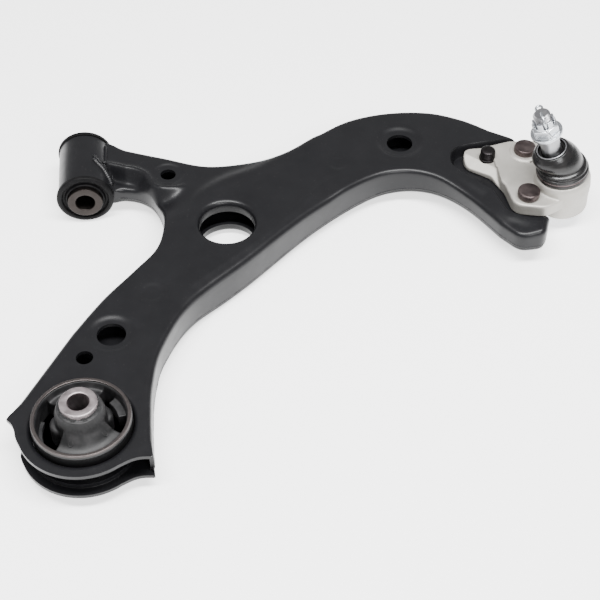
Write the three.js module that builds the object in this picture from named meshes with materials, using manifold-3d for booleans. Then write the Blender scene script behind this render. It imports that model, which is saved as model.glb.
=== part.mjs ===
// Front lower control arm of a car: a two-shell pressed steel arm with a horizontal front
// bush, a vertical rear bush, and a bolted-on forged bracket that carries the ball joint.
// Millimetres. X points outboard to the ball joint, Y runs along the pivot axis from the
// rear bush to the front bush, Z is up. The bench frame has its origin on the rear bush's
// axis, halfway between the shells; the finished group is set down on its lowest points.

import * as THREE from "three";
import Module from "manifold-3d";
import { mergeVertices } from "three/addons/utils/BufferGeometryUtils.js";

const wasm = await Module();
wasm.setup();

// ---------------------------------------------------------------- driving dimensions

const LOWER_COLLAR = [-21, -12]; // heights of the lower shell's rolled rim round the centre hole
const CUT_REACH = 40; // cutting bodies run this far above and below the middle of the shells
const GAP = 0.3; // clearance between pieces that touch
const SHEET = 3; // thickness of the pressed steel
const TOP_Z = 12; // upper face of the upper shell
const SEAM_LIFT = 6; // lower edge of the upper shell's skirt above the arm's underside
const FLOOR_Z = -23; // what the arm rests on, under the sleeves and the stud ends
const INNER_TOP = TOP_Z - SHEET;

const REAR_PLATE_R = 45; // round end of both shells about the rear bush
const REAR_RING = { outer: 35, inner: 33, bottom: -16, top: 20 };
const REAR_SLEEVE = { outer: 13, bore: 7.4, bottom: FLOOR_Z, top: 36 };

const EYE = { outer: 21.5, inner: 18.5, near: 243, far: 295 };
const FRONT_RING = { outer: 18.2, inner: 16.7 };
const FRONT_SLEEVE = { outer: 14, bore: 7.8, near: 235.5, far: 302.5 };
const FRONT_FLANGE = { outer: 23, near: 238.6, far: 299.7 };

const CENTRE_HOLE = { x: 112.3, y: 189.3, r: 22, depth: 9 };
const TOOLING_HOLES = [
  { x: 262.2, y: 270.7, r: 10.7 },
  { x: 20.6, y: 81, r: 10.7 },
];
const LOCATING_HOLES = [
  { x: 1.4, y: 59.4, r: 6.2 },
  { x: 68.3, y: 251, r: 6.2 },
];

const POCKET_FLOOR = 2; // upper face of the sheet that the bracket sits on
const BRACKET = { bottom: POCKET_FLOOR + GAP, top: 13, lugTop: 10.5 };
const BOLT_HOLE_R = 6.5;
const STUDS = { near: [354, 192.5], far: [362.5, 245.5], head: 8.9, top: 19.5, thread: 6 };
const LUG_BOLT = { x: 331, y: 243.5, top: 20.5, thread: 6 };
const NUT = { flats: 17, height: 11, flange: 12 };

const BALL = { x: 385.5, y: 206.4, z: 10, r: 13 };
const HOUSING_LEAN = THREE.MathUtils.degToRad(-8); // housing's axis, about +Y
const STUD_LEAN = THREE.MathUtils.degToRad(-20); // stud's axis as it rests, about +Y
const HOUSING = { outer: 22.5, bore: 17.3, lip: 14.6, top: 13, bottom: -21 };
const STUD = { neck: 6.3, cone: 8.2, small: 7.6, thread: 6.9, end: 81 };
const NUT_SEAT = 57; // castle nut's seat above the ball's centre, along the stud
const CASTLE = { flange: 12.2, flats: 19, flangeTop: 2.2, hexTop: 11.5, top: 17.5, slots: 6 };
const PIN_HEIGHT = NUT_SEAT + 14.6; // split pin's hole above the ball's centre
const BOOT_TOP = 42; // boot's upper lip above the ball's centre, along the stud

// Height of the arm's underside along X: level by the bushes, deepest under the centre
// hole, and shallow under the ball joint bracket.
const UNDERSIDE = [
  [-70, -12.5],
  [45, -12.5],
  [100, -22],
  [140, -20.8],
  [220, -17],
  [262, -13.5],
  [300, -9.5],
  [400, -9.5],
];

// ---------------------------------------------------------------- materials

function finish(color, roughness, metalness) {
  return new THREE.MeshStandardMaterial({ color, roughness, metalness });
}

const blackPaint = finish(0x26272a, 0.4, 0.1);
const blackRubber = finish(0x1c1c1e, 0.75, 0);
const bareSteel = finish(0xa8a4a2, 0.45, 0.9);
const castMetal = finish(0xc9c8c4, 0.6, 0.8);
const zincPlate = finish(0xd2d3d6, 0.35, 0.95);
const darkSteel = finish(0x4d4644, 0.5, 0.7);
const whitePlastic = finish(0xd9d5c4, 0.5, 0);

// ---------------------------------------------------------------- solids and booleans

// A closed three.js geometry as a manifold solid.
function solid(geometry) {
  let bare = geometry.index ? geometry.toNonIndexed() : geometry.clone();
  bare.deleteAttribute("normal");
  bare.deleteAttribute("uv");
  bare = mergeVertices(bare, 1e-4);
  return new wasm.Manifold(
    new wasm.Mesh({
      numProp: 3,
      vertProperties: new Float32Array(bare.attributes.position.array),
      triVerts: new Uint32Array(bare.index.array),
    }),
  );
}

function geometryOf(manifold) {
  const mesh = manifold.getMesh();
  const geometry = new THREE.BufferGeometry();
  geometry.setAttribute("position", new THREE.BufferAttribute(mesh.vertProperties, 3));
  geometry.setIndex(new THREE.BufferAttribute(mesh.triVerts, 1));
  geometry.computeVertexNormals();
  return geometry;
}

function join(first, ...others) {
  return others.reduce((sum, other) => sum.add(other), first);
}

function cut(first, ...others) {
  return others.reduce((rest, other) => rest.subtract(other), first);
}

// A prism of an outline, upright between two heights.
function prism(points, bottom, top) {
  const shape = new THREE.Shape(points);
  const geometry = new THREE.ExtrudeGeometry(shape, { depth: top - bottom, bevelEnabled: false });
  geometry.translate(0, 0, bottom);
  return solid(geometry);
}

function cylinder(x, y, r, bottom, top, segments = 24) {
  const geometry = new THREE.CylinderGeometry(r, r, top - bottom, segments);
  geometry.rotateX(Math.PI / 2);
  geometry.translate(x, y, (bottom + top) / 2);
  return solid(geometry);
}

// A turned piece about +Z. The profile is a closed loop of [radius, height], or runs from
// the axis back to the axis.
function turned(profile, segments = 24) {
  const onAxis = profile[0][0] === 0;
  const points = profile.map(([r, h]) => new THREE.Vector2(r, h));
  if (!onAxis) {
    points.push(points[0].clone());
  }
  const geometry = new THREE.LatheGeometry(points, segments);
  geometry.rotateX(Math.PI / 2);
  return solid(geometry);
}

// A plain tube about +Z.
function tube(outer, inner, bottom, top, segments = 32) {
  const profile = [
    [inner, bottom],
    [outer, bottom],
    [outer, top],
    [inner, top],
  ];
  return turned(profile, segments);
}

function hexagon(flats, turn = 0) {
  const r = flats / 2 / Math.cos(Math.PI / 6);
  const corners = Array.from({ length: 6 }, (_, i) => turn + (i * Math.PI) / 3);
  return corners.map((a) => new THREE.Vector2(r * Math.cos(a), r * Math.sin(a)));
}

// ---------------------------------------------------------------- outlines

function arc(x, y, r, from, to, steps) {
  const curve = new THREE.EllipseCurve(x, y, r, r, from, to, to < from);
  return curve.getPoints(steps);
}

function spline(points, steps) {
  return new THREE.SplineCurve(points.map(([x, y]) => new THREE.Vector2(x, y))).getPoints(steps);
}

// Corners [x, y, radius] joined by straight lines, each corner rounded by its radius, or
// left sharp at 0. An open run keeps its two ends as they are.
function rounded(corners, closed = true) {
  const points = [];
  corners.forEach(([x, y, r], i) => {
    if (r === 0 || (!closed && (i === 0 || i === corners.length - 1))) {
      points.push(new THREE.Vector2(x, y));
      return;
    }
    const [px, py] = corners.at(i - 1);
    const [nx, ny] = corners[(i + 1) % corners.length];
    const here = new THREE.Vector2(x, y);
    const back = new THREE.Vector2(px, py).sub(here).normalize();
    const on = new THREE.Vector2(nx, ny).sub(here).normalize();
    const half = Math.acos(THREE.MathUtils.clamp(back.dot(on), -1, 1)) / 2;
    const reach = r / Math.tan(half);
    const start = here.clone().addScaledVector(back, reach);
    const end = here.clone().addScaledVector(on, reach);
    const bend = new THREE.QuadraticBezierCurve(start, here, end);
    const steps = Math.max(2, Math.round(((Math.PI - 2 * half) * 6) / Math.PI) + 1);
    points.push(...bend.getPoints(steps));
  });
  return points;
}

function withoutRepeats(points) {
  return points.filter((p, i) => p.distanceTo(points.at(i - 1)) > 0.05);
}

// The outline moved inwards by a distance (outwards when negative), corner by corner.
function inset(points, distance) {
  const loop = withoutRepeats(points);
  return loop.map((p, i) => {
    const before = loop.at(i - 1);
    const after = loop[(i + 1) % loop.length];
    const a = p.clone().sub(before).normalize();
    const b = after.clone().sub(p).normalize();
    const bisector = new THREE.Vector2(-a.y - b.y, a.x + b.x).normalize();
    const stretch = Math.max(0.5, bisector.dot(new THREE.Vector2(-a.y, a.x)));
    return p.clone().addScaledVector(bisector, distance / stretch);
  });
}

// The arm seen from above, anticlockwise from the rear bush's left corner.
const leftCorner = [-52, 9];
const rightCorner = [46, -31];
const nearEdge = [
  rightCorner,
  [47, 0],
  [49.5, 33],
  [58, 67],
  [81.5, 108],
  [127, 148],
  [181, 196],
  [226, 226],
  [256, 234],
  [283, 226],
  [307, 202],
  [327, 168],
];
const nearHorn = [
  [340, 151, 14],
  [360, 152, 9],
  [367, 170, 7],
];
const farHorn = [
  [377, 250, 9],
  [355, 269, 8],
];
const farEdge = [
  [340, 279],
  [320, 295],
  [292, 308],
  [256, 311],
  [222, 303.5],
  [192, 286],
  [165, 268],
  [138, 261.5],
  [100, 260.5],
  [62, 274],
  [22, 291],
];
const throat = [
  [10, 245],
  [34, 244.5],
  [51, 236],
  [60, 218],
  [62.5, 195],
  [56, 168],
  [38, 145],
  [14, 117],
  [-8, 85],
];

const armOutline = withoutRepeats([
  ...arc(0, 0, REAR_PLATE_R, Math.PI * 1.02, Math.PI * 1.78, 12),
  ...spline(nearEdge, 32),
  ...rounded([nearEdge.at(-1), ...nearHorn, ...farHorn, farEdge[0]], false),
  ...spline(farEdge, 26),
  new THREE.Vector2(10, 295),
  ...spline(throat, 18),
  new THREE.Vector2(...leftCorner),
]);

// The pocket that the bracket lies in: open at the outboard end, round at the inboard end.
const pocketOutline = rounded([
  [303, 240, 12],
  [309, 231, 12],
  [331, 205, 12],
  [337, 181, 10],
  [352, 172, 6],
  [400, 174, 0],
  [400, 262, 0],
  [350, 262, 8],
  [322, 259, 14],
  [306, 256, 12],
]);

// The bracket seen from above.
const bracketOutline = rounded([
  [313, 240, 9],
  [331, 226, 8],
  [338.5, 208, 12],
  [341, 184, 12],
  [366, 177.5, 16],
  [394, 192, 14],
  [409, 210, 20],
  [398, 232, 16],
  [380, 259, 8],
  [352, 261, 12],
  [337, 257.5, 6],
  [312, 257.5, 10],
]);

// ---------------------------------------------------------------- the two shells

// The body under the top face and above the underside curve, as wide as the arm.
function betweenHeights(lift, top) {
  const section = UNDERSIDE.map(([x, z]) => new THREE.Vector2(x, z + lift));
  const shape = new THREE.Shape([...section, new THREE.Vector2(400, top), new THREE.Vector2(-70, top)]);
  const geometry = new THREE.ExtrudeGeometry(shape, { depth: 500, bevelEnabled: false });
  geometry.rotateX(Math.PI / 2);
  geometry.translate(0, 400, 0);
  return solid(geometry);
}

// The open mouth between the shells, round the rear bush from corner to corner.
const mouthOutline = [
  [-48, 3],
  [-70, -6],
  [-70, -80],
  [70, -80],
  [70, -37],
  [42.5, -26],
  [20, 10],
  [-20, 15],
].map(([x, y]) => new THREE.Vector2(x, y));

const armInside = join(
  prism(inset(armOutline, SHEET), -60, INNER_TOP),
  prism(mouthOutline, -60, INNER_TOP),
);

const eyeCut = (() => {
  const length = 2 * (EYE.far - EYE.near);
  const geometry = new THREE.CylinderGeometry(EYE.outer + GAP, EYE.outer + GAP, length, 36);
  geometry.translate(0, (EYE.near + EYE.far) / 2, 0);
  return solid(geometry);
})();

function shellHoles() {
  const bushHole = cylinder(0, 0, REAR_RING.outer + GAP, -CUT_REACH, CUT_REACH, 36);
  const centre = cylinder(CENTRE_HOLE.x, CENTRE_HOLE.y, CENTRE_HOLE.r, -CUT_REACH, CUT_REACH, 32);
  const small = [...TOOLING_HOLES, ...LOCATING_HOLES].map(({ x, y, r }) =>
    cylinder(x, y, r, -CUT_REACH, CUT_REACH, 20),
  );
  const bracketHoles = [STUDS.near, STUDS.far, [LUG_BOLT.x, LUG_BOLT.y]].map(([x, y]) =>
    cylinder(x, y, BOLT_HOLE_R, -CUT_REACH, TOP_Z, 16),
  );
  const housingRoom = atBall(cylinder(0, 0, HOUSING.outer + 1.5, -60, 60, 40), HOUSING_LEAN);
  return [bushHole, centre, ...small, ...bracketHoles, housingRoom];
}

function upperShell() {
  const block = prism(armOutline, -CUT_REACH, TOP_Z).intersect(betweenHeights(SEAM_LIFT, CUT_REACH));
  const pocket = prism(pocketOutline, POCKET_FLOOR, CUT_REACH);
  const pocketWall = prism(inset(pocketOutline, -SHEET), POCKET_FLOOR - SHEET, CUT_REACH);
  const collar = cylinder(
    CENTRE_HOLE.x, CENTRE_HOLE.y, CENTRE_HOLE.r + SHEET, TOP_Z - CENTRE_HOLE.depth, TOP_Z - 1, 32,
  );
  const pressed = join(cut(block, cut(armInside, pocketWall)), collar);
  return cut(pressed, pocket, eyeCut, ...shellHoles());
}

// The lower shell is a tray under the upper shell's skirt, with a pad pressed up from it to
// meet the pocket's floor.
function lowerShell() {
  const tray = cut(
    prism(armOutline, -CUT_REACH, 0).intersect(betweenHeights(0, CUT_REACH)),
    betweenHeights(SEAM_LIFT - GAP, CUT_REACH),
    armInside.intersect(betweenHeights(SHEET, CUT_REACH)),
    prism(inset(pocketOutline, SHEET), -CUT_REACH, 0),
  );
  const padTop = POCKET_FLOOR - SHEET - GAP;
  const pad = prism(pocketOutline, -CUT_REACH, padTop)
    .intersect(prism(inset(armOutline, SHEET + GAP), -CUT_REACH, 0))
    .intersect(betweenHeights(0, CUT_REACH));
  const padHollow = prism(inset(pocketOutline, SHEET), -CUT_REACH, padTop - SHEET);
  const collar = cylinder(CENTRE_HOLE.x, CENTRE_HOLE.y, CENTRE_HOLE.r + SHEET, ...LOWER_COLLAR, 32);
  return cut(join(tray, cut(pad, padHollow), collar), eyeCut, ...shellHoles());
}

// ---------------------------------------------------------------- front bush

// Turned pieces of the front bush are made upright and laid along +Y.
function alongY(manifold) {
  return manifold.rotate([-90, 0, 0]);
}

function frontEyeTube() {
  return alongY(tube(EYE.outer, EYE.inner, EYE.near, EYE.far, 36));
}

function frontBushOuterSleeve() {
  return alongY(tube(FRONT_RING.outer, FRONT_RING.inner, EYE.near, EYE.far, 32));
}

// Rubber between the two sleeves, with a lip at each end that covers the eye.
function frontBushRubber() {
  const core = FRONT_SLEEVE.outer + GAP;
  const wall = FRONT_RING.inner - GAP;
  const profile = [
    [core, FRONT_FLANGE.near],
    [FRONT_FLANGE.outer - 1.6, FRONT_FLANGE.near],
    [FRONT_FLANGE.outer, FRONT_FLANGE.near + 1.4],
    [FRONT_FLANGE.outer, EYE.near - GAP],
    [wall, EYE.near - GAP],
    [wall, EYE.far + GAP],
    [FRONT_FLANGE.outer - 0.6, EYE.far + GAP],
    [FRONT_FLANGE.outer - 0.6, FRONT_FLANGE.far - 1.4],
    [FRONT_FLANGE.outer - 2.2, FRONT_FLANGE.far],
    [core, FRONT_FLANGE.far],
  ];
  return alongY(turned(profile, 28));
}

function frontBushInnerSleeve() {
  return alongY(tube(FRONT_SLEEVE.outer, FRONT_SLEEVE.bore, FRONT_SLEEVE.near, FRONT_SLEEVE.far, 28));
}

// ---------------------------------------------------------------- rear bush

function rearBushOuterSleeve() {
  return tube(REAR_RING.outer, REAR_RING.inner, REAR_RING.bottom, REAR_RING.top, 36);
}

// A kidney-shaped void between two radii, centred on the +X or the -X side.
function kidney(side, inner, outer, halfAngle) {
  const middle = side > 0 ? 0 : Math.PI;
  const points = [
    ...arc(0, 0, outer, middle - halfAngle, middle + halfAngle, 7),
    ...arc(0, 0, inner, middle + halfAngle, middle - halfAngle, 6),
  ];
  return prism(points, -60, 60);
}

// Rubber with two webs along Y and two voids along X, each with a stop block.
function rearBushRubber() {
  const core = REAR_SLEEVE.outer + GAP;
  const wall = REAR_RING.inner - GAP;
  const body = turned(
    [
      [core, -17],
      [18, -15],
      [wall, -11],
      [wall, 14],
      [27, 14.5],
      [18, 22],
      [core + 2.5, 29],
      [core, 30],
    ],
    36,
  );
  const voids = [1, -1].map((side) => kidney(side, 18.5, 30.5, 0.72));
  const stops = [1, -1].map((side) => {
    const block = kidney(side, 26, 31.5, 0.3);
    return block.intersect(cylinder(0, 0, 32, -9, 8, 36));
  });
  return join(cut(body, ...voids), ...stops);
}

function rearBushInnerSleeve() {
  return tube(REAR_SLEEVE.outer, REAR_SLEEVE.bore, REAR_SLEEVE.bottom, REAR_SLEEVE.top, 28);
}

// ---------------------------------------------------------------- ball joint

// Pieces about the ball are made upright with the ball's centre at the origin, leaned
// about Y and set in place.
function atBall(manifold, lean) {
  const degrees = THREE.MathUtils.radToDeg(lean);
  return manifold.rotate([0, degrees, 0]).translate([BALL.x, BALL.y, BALL.z]);
}

// Forged bracket: a lug for the bolt, a plate with two stud bosses, and the round housing.
function ballJointBracket() {
  const plate = prism(bracketOutline, BRACKET.bottom, BRACKET.top);
  const lugStep = prism(
    [
      [300, 215],
      [337, 215],
      [334, 275],
      [300, 275],
    ].map(([x, y]) => new THREE.Vector2(x, y)),
    BRACKET.lugTop,
    CUT_REACH,
  );
  const cup = atBall(
    turned(
      [
        [0, HOUSING.bottom],
        [HOUSING.outer - 3, HOUSING.bottom],
        [HOUSING.outer, HOUSING.bottom + 4],
        [HOUSING.outer, 6],
        [HOUSING.outer - 2.5, HOUSING.top],
        [0, HOUSING.top],
      ],
      32,
    ),
    HOUSING_LEAN,
  );
  const bore = atBall(
    turned(
      [
        [0, HOUSING.bottom - 2],
        [HOUSING.bore + 1, HOUSING.bottom - 2],
        [HOUSING.bore + 1, HOUSING.bottom + 4.5],
        [HOUSING.bore, HOUSING.bottom + 4.5],
        [HOUSING.bore, 9],
        [HOUSING.lip, 9],
        [HOUSING.lip + 1, HOUSING.top + 2],
        [0, HOUSING.top + 2],
      ],
      32,
    ),
    HOUSING_LEAN,
  );
  const holes = [STUDS.near, STUDS.far, [LUG_BOLT.x, LUG_BOLT.y]].map(([x, y]) =>
    cylinder(x, y, BOLT_HOLE_R, -CUT_REACH, CUT_REACH, 16),
  );
  return cut(join(cut(plate, lugStep), cup), bore, ...holes);
}

// Spherical seat halves between the ball and the housing's bore.
function seatHalf(profileEnds) {
  const [low, high] = profileEnds;
  const inner = BALL.r + GAP;
  const outer = HOUSING.bore - GAP;
  const steps = 5;
  const sphere = Array.from({ length: steps + 1 }, (_, i) => {
    const h = high + ((low - high) * i) / steps;
    return [Math.sqrt(inner * inner - h * h), h];
  });
  return atBall(turned([[outer, low], [outer, high], ...sphere], 24), HOUSING_LEAN);
}

function preloadSpring() {
  const profile = [
    [7, -15.2],
    [15.5, -16.6],
    [15.5, -15.6],
    [7, -14.2],
  ];
  return atBall(turned(profile, 20), HOUSING_LEAN);
}

function housingEndCap() {
  const profile = [
    [0, -19],
    [10, -19],
    [12, -20],
    [HOUSING.bore + 1 - GAP, -20],
    [HOUSING.bore + 1 - GAP, -18],
    [HOUSING.bore - 0.5, -17.2],
    [0, -17.2],
  ];
  return atBall(turned(profile, 24), HOUSING_LEAN);
}

// Ball, neck, taper and threaded end in one turned piece, cross-drilled for the pin.
function ballStud() {
  const neckStart = Math.sqrt(BALL.r * BALL.r - STUD.neck * STUD.neck);
  const ballArc = Array.from({ length: 9 }, (_, i) => {
    const a = -Math.PI / 2 + (i / 8) * (Math.PI / 2 + Math.asin(neckStart / BALL.r));
    return [Math.max(0, BALL.r * Math.cos(a)), BALL.r * Math.sin(a)];
  });
  ballArc[0] = [0, -BALL.r];
  const profile = [
    ...ballArc,
    [STUD.neck, 20],
    [STUD.cone, 27],
    [STUD.small, NUT_SEAT + 1],
    [STUD.thread, NUT_SEAT + 1.6],
    [STUD.thread, STUD.end - 1.5],
    [STUD.thread - 1.5, STUD.end],
    [0, STUD.end],
  ];
  const pinHole = cylinder(0, 0, 1.9, -12, 12, 12)
    .rotate([90, 0, 0])
    .translate([0, 0, PIN_HEIGHT]);
  return atBall(cut(turned(profile, 24), pinHole), STUD_LEAN);
}

function castleNut() {
  const flange = turned(
    [
      [0, 0],
      [CASTLE.flange, 0],
      [CASTLE.flange, 1.2],
      [CASTLE.flange - 1, CASTLE.flangeTop],
      [0, CASTLE.flangeTop],
    ],
    24,
  );
  const hex = prism(hexagon(CASTLE.flats, Math.PI / 6), 1, CASTLE.hexTop);
  const crown = cylinder(0, 0, CASTLE.flats / 2 - 0.9, 1, CASTLE.top, 24);
  const slots = Array.from({ length: CASTLE.slots / 2 }, (_, i) => {
    const box = solid(new THREE.BoxGeometry(3.8, 40, 12));
    const floor = CASTLE.hexTop + 1.2;
    return box.translate([0, 0, floor + 6]).rotate([0, 0, (i * 360) / CASTLE.slots]);
  });
  const thread = cylinder(0, 0, STUD.small + GAP, -5, 2.2, 24);
  const bore = cylinder(0, 0, STUD.thread + GAP, -5, 40, 24);
  const nut = cut(join(flange, hex, crown), ...slots, thread, bore);
  return atBall(nut.translate([0, 0, NUT_SEAT]), STUD_LEAN);
}

// Split pin through the stud: an eye on the far side, one leg bent down over the nut and
// one bent up over the stud's end.
function cotterPin() {
  const height = PIN_HEIGHT;
  const sweep = (points, r) => {
    const path = new THREE.CatmullRomCurve3(
      points.map(([x, y, z]) => new THREE.Vector3(x, y, z)),
      false,
      "centripetal",
    );
    const circle = new THREE.Shape(arc(0, 0, r, 0, 2 * Math.PI, 6).slice(0, -1));
    return solid(new THREE.ExtrudeGeometry(circle, { steps: 10, extrudePath: path, bevelEnabled: false }));
  };
  const bar = cylinder(0, 0, 1.45, -12.4, 9.2, 12)
    .rotate([90, 0, 0])
    .translate([0, 0, height]);
  const eye = turned(
    Array.from({ length: 6 }, (_, i) => {
      const a = (i * Math.PI) / 3;
      return [2.3 + 0.95 * Math.cos(a), 0.95 * Math.sin(a)];
    }),
    14,
  )
    .rotate([0, 90, 0])
    .translate([0, 14.6, height]);
  const down = sweep(
    [
      [0, -8.4, height - 0.2],
      [0, -11.2, height - 0.9],
      [1, -12.7, height - 4.2],
      [2.4, -12.9, height - 8.4],
    ],
    0.95,
  );
  const up = sweep(
    [
      [0, -8.2, height + 0.3],
      [0, -10.3, height + 2.2],
      [0, -9.2, height + 7.4],
      [0, -6, height + 10.6],
      [0, -1.5, height + 11.2],
    ],
    0.95,
  );
  return atBall(join(bar, eye, down, up), STUD_LEAN);
}

// Carries a point from the housing's axis at the boot's foot to the stud's axis at its lip.
function followStud(geometry, foot, lip) {
  const axis = new THREE.Vector3(0, 1, 0);
  const position = geometry.attributes.position;
  const point = new THREE.Vector3();
  for (let i = 0; i < position.count; i += 1) {
    point.fromBufferAttribute(position, i);
    const share = THREE.MathUtils.smoothstep(point.z, foot, lip);
    const lean = THREE.MathUtils.lerp(HOUSING_LEAN, STUD_LEAN, share);
    point.applyAxisAngle(axis, lean);
    position.setXYZ(i, point.x, point.y, point.z);
  }
  return geometry;
}

const bootFoot = HOUSING.top + GAP;
// Outside of the boot from foot to lip: [radius, height above the ball's centre].
const bootOutside = [
  [19.6, bootFoot],
  [20.8, bootFoot + 3],
  [20.8, bootFoot + 5.5],
  [19.4, bootFoot + 7],
  [20, bootFoot + 9],
  [17.6, bootFoot + 11.4],
  [18, bootFoot + 14],
  [18.3, bootFoot + 18.5],
  [16.8, bootFoot + 23.5],
  [12.6, BOOT_TOP],
];

function dustBoot() {
  const lipInside = STUD.cone + GAP;
  const inside = [
    [11.4, BOOT_TOP],
    [11.2, BOOT_TOP - 2.6],
    [lipInside, BOOT_TOP - 2.6],
    [lipInside, BOOT_TOP - 6],
    [12.6, BOOT_TOP - 6.5],
    [15.4, bootFoot + 18.5],
    [15.2, bootFoot + 12],
    [16.6, bootFoot + 8],
    [16.8, bootFoot],
  ];
  const points = [...bootOutside, ...inside].map(([r, h]) => new THREE.Vector2(r, h));
  points.push(points[0].clone());
  const geometry = new THREE.LatheGeometry(points, 24);
  geometry.rotateX(Math.PI / 2);
  followStud(geometry, bootFoot + 6, BOOT_TOP - 4);
  return solid(geometry).translate([BALL.x, BALL.y, BALL.z]);
}

// Wire ring of round section about an axis.
function wireRing(radius, wire, height, lean) {
  const loop = Array.from({ length: 6 }, (_, i) => {
    const a = (i * Math.PI) / 3;
    return [radius + wire * Math.cos(a), height + wire * Math.sin(a)];
  });
  return atBall(turned(loop, 24), lean);
}

// ---------------------------------------------------------------- bracket fasteners

// Press stud: low round head on the bracket, shank through both sheets, threaded end down.
function pressStud([x, y]) {
  const profile = [
    [0, FLOOR_Z],
    [STUDS.thread - 1.2, FLOOR_Z],
    [STUDS.thread, FLOOR_Z + 1.5],
    [STUDS.thread, BRACKET.top + GAP],
    [STUDS.head - 0.6, BRACKET.top + GAP],
    [STUDS.head, BRACKET.top + 1.2],
    [STUDS.head, STUDS.top - 1],
    [STUDS.head - 1, STUDS.top],
    [0, STUDS.top],
  ];
  return turned(profile, 20).translate([x, y, 0]);
}

const sheetUnder = POCKET_FLOOR - 2 * SHEET - GAP; // underside of the clamped sheets

function flangeNut([x, y]) {
  const seat = sheetUnder - GAP;
  const flange = cylinder(0, 0, NUT.flange, seat - 2, seat, 20);
  const body = prism(hexagon(NUT.flats), seat - NUT.height, seat - 1);
  const bore = cylinder(0, 0, STUDS.thread + GAP, -CUT_REACH, CUT_REACH, 18);
  return cut(join(flange, body), bore).translate([x, y, 0]);
}

function bracketBolt() {
  const seat = sheetUnder - GAP;
  const flange = cylinder(0, 0, NUT.flange, seat - 2, seat, 20);
  const head = prism(hexagon(NUT.flats), seat - 8, seat - 1);
  const shank = turned(
    [
      [0, seat - 3],
      [LUG_BOLT.thread, seat - 3],
      [LUG_BOLT.thread, LUG_BOLT.top - 2],
      [LUG_BOLT.thread - 1.6, LUG_BOLT.top],
      [0, LUG_BOLT.top],
    ],
    18,
  );
  return join(flange, head, shank).translate([LUG_BOLT.x, LUG_BOLT.y, 0]);
}

// ---------------------------------------------------------------- assembly

const controlArm = new THREE.Group();
const bench = new THREE.Group();
controlArm.add(bench);

function place(name, manifold, material) {
  const mesh = new THREE.Mesh(geometryOf(manifold), material);
  mesh.name = name;
  bench.add(mesh);
}

place("upper_shell", upperShell(), blackPaint);
place("lower_shell", lowerShell(), blackPaint);
place("front_eye_tube", frontEyeTube(), blackPaint);
place("front_bush_outer_sleeve", frontBushOuterSleeve(), bareSteel);
place("front_bush_rubber", frontBushRubber(), blackRubber);
place("front_bush_inner_sleeve", frontBushInnerSleeve(), bareSteel);
place("rear_bush_outer_sleeve", rearBushOuterSleeve(), bareSteel);
place("rear_bush_rubber", rearBushRubber(), blackRubber);
place("rear_bush_inner_sleeve", rearBushInnerSleeve(), bareSteel);
place("ball_joint_bracket", ballJointBracket(), castMetal);
place("upper_ball_seat", seatHalf([GAP / 2, 6.4]), whitePlastic);
place("lower_ball_seat", seatHalf([-12.5, -GAP / 2]), whitePlastic);
place("preload_spring", preloadSpring(), bareSteel);
place("housing_end_cap", housingEndCap(), zincPlate);
place("ball_stud", ballStud(), bareSteel);
place("dust_boot", dustBoot(), blackRubber);
place("boot_base_ring", wireRing(22.3, 0.8, bootFoot + 4.2, HOUSING_LEAN), darkSteel);
place("boot_top_ring", wireRing(9.9, 0.7, BOOT_TOP - 1.4, STUD_LEAN), darkSteel);
place("castle_nut", castleNut(), zincPlate);
place("cotter_pin", cotterPin(), zincPlate);
place("press_stud_near", pressStud(STUDS.near), darkSteel);
place("press_stud_far", pressStud(STUDS.far), darkSteel);
place("flange_nut_near", flangeNut(STUDS.near), darkSteel);
place("flange_nut_far", flangeNut(STUDS.far), darkSteel);
place("bracket_bolt", bracketBolt(), darkSteel);

// The origin is the middle of the bounding box, on the plane that the arm rests on.
const box = new THREE.Box3().setFromObject(bench, true);
const middle = box.getCenter(new THREE.Vector3());
bench.position.set(-middle.x, -middle.y, -box.min.z);

export default controlArm;
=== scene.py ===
# %% [markdown]
# # A pressed-steel lower control arm, dressed in Blender
#
# The arm holds one front wheel of a car. It swings on two rubber bushes at the car's side,
# and a ball joint at its outer end carries the wheel's knuckle. The measured model brings
# sizes, places and joints; this lesson gives each piece its real surface: folds, rolled
# rims, pressed dimples, welds, threads and finishes.
#
# Everything below is written in millimetres from one corner of the bench, the middle of
# the rear bush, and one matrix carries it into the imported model's metres.

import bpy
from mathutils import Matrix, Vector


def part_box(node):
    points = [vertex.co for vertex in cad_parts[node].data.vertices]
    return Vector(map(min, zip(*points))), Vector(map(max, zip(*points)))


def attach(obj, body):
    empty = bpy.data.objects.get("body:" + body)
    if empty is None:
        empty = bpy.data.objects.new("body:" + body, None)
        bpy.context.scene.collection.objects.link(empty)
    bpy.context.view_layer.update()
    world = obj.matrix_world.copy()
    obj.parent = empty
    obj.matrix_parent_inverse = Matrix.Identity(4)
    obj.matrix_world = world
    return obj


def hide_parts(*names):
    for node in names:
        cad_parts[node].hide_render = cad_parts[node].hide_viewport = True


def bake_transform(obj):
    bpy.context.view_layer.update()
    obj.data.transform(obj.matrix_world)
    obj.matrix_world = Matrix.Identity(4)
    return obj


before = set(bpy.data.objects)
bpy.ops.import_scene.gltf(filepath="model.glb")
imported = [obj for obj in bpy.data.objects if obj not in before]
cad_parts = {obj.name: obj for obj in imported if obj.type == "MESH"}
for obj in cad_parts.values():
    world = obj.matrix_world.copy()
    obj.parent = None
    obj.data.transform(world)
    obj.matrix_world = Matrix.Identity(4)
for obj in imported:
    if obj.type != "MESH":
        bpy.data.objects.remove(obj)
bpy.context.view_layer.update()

# %% [markdown]
# ## The bench
#
# The rear bush's inner sleeve is a plain upright tube, so its box gives the bench's
# origin: the middle of the box in X and Y, and a known height above its lower end. Its
# lower end is what the arm rests on. X points outboard to the ball joint, Y runs along the
# pivot axis and Z is up.

# %% The bench's origin
import math

import bmesh
import bpy
import numpy as np
from mathutils import Matrix, Vector, geometry

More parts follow.
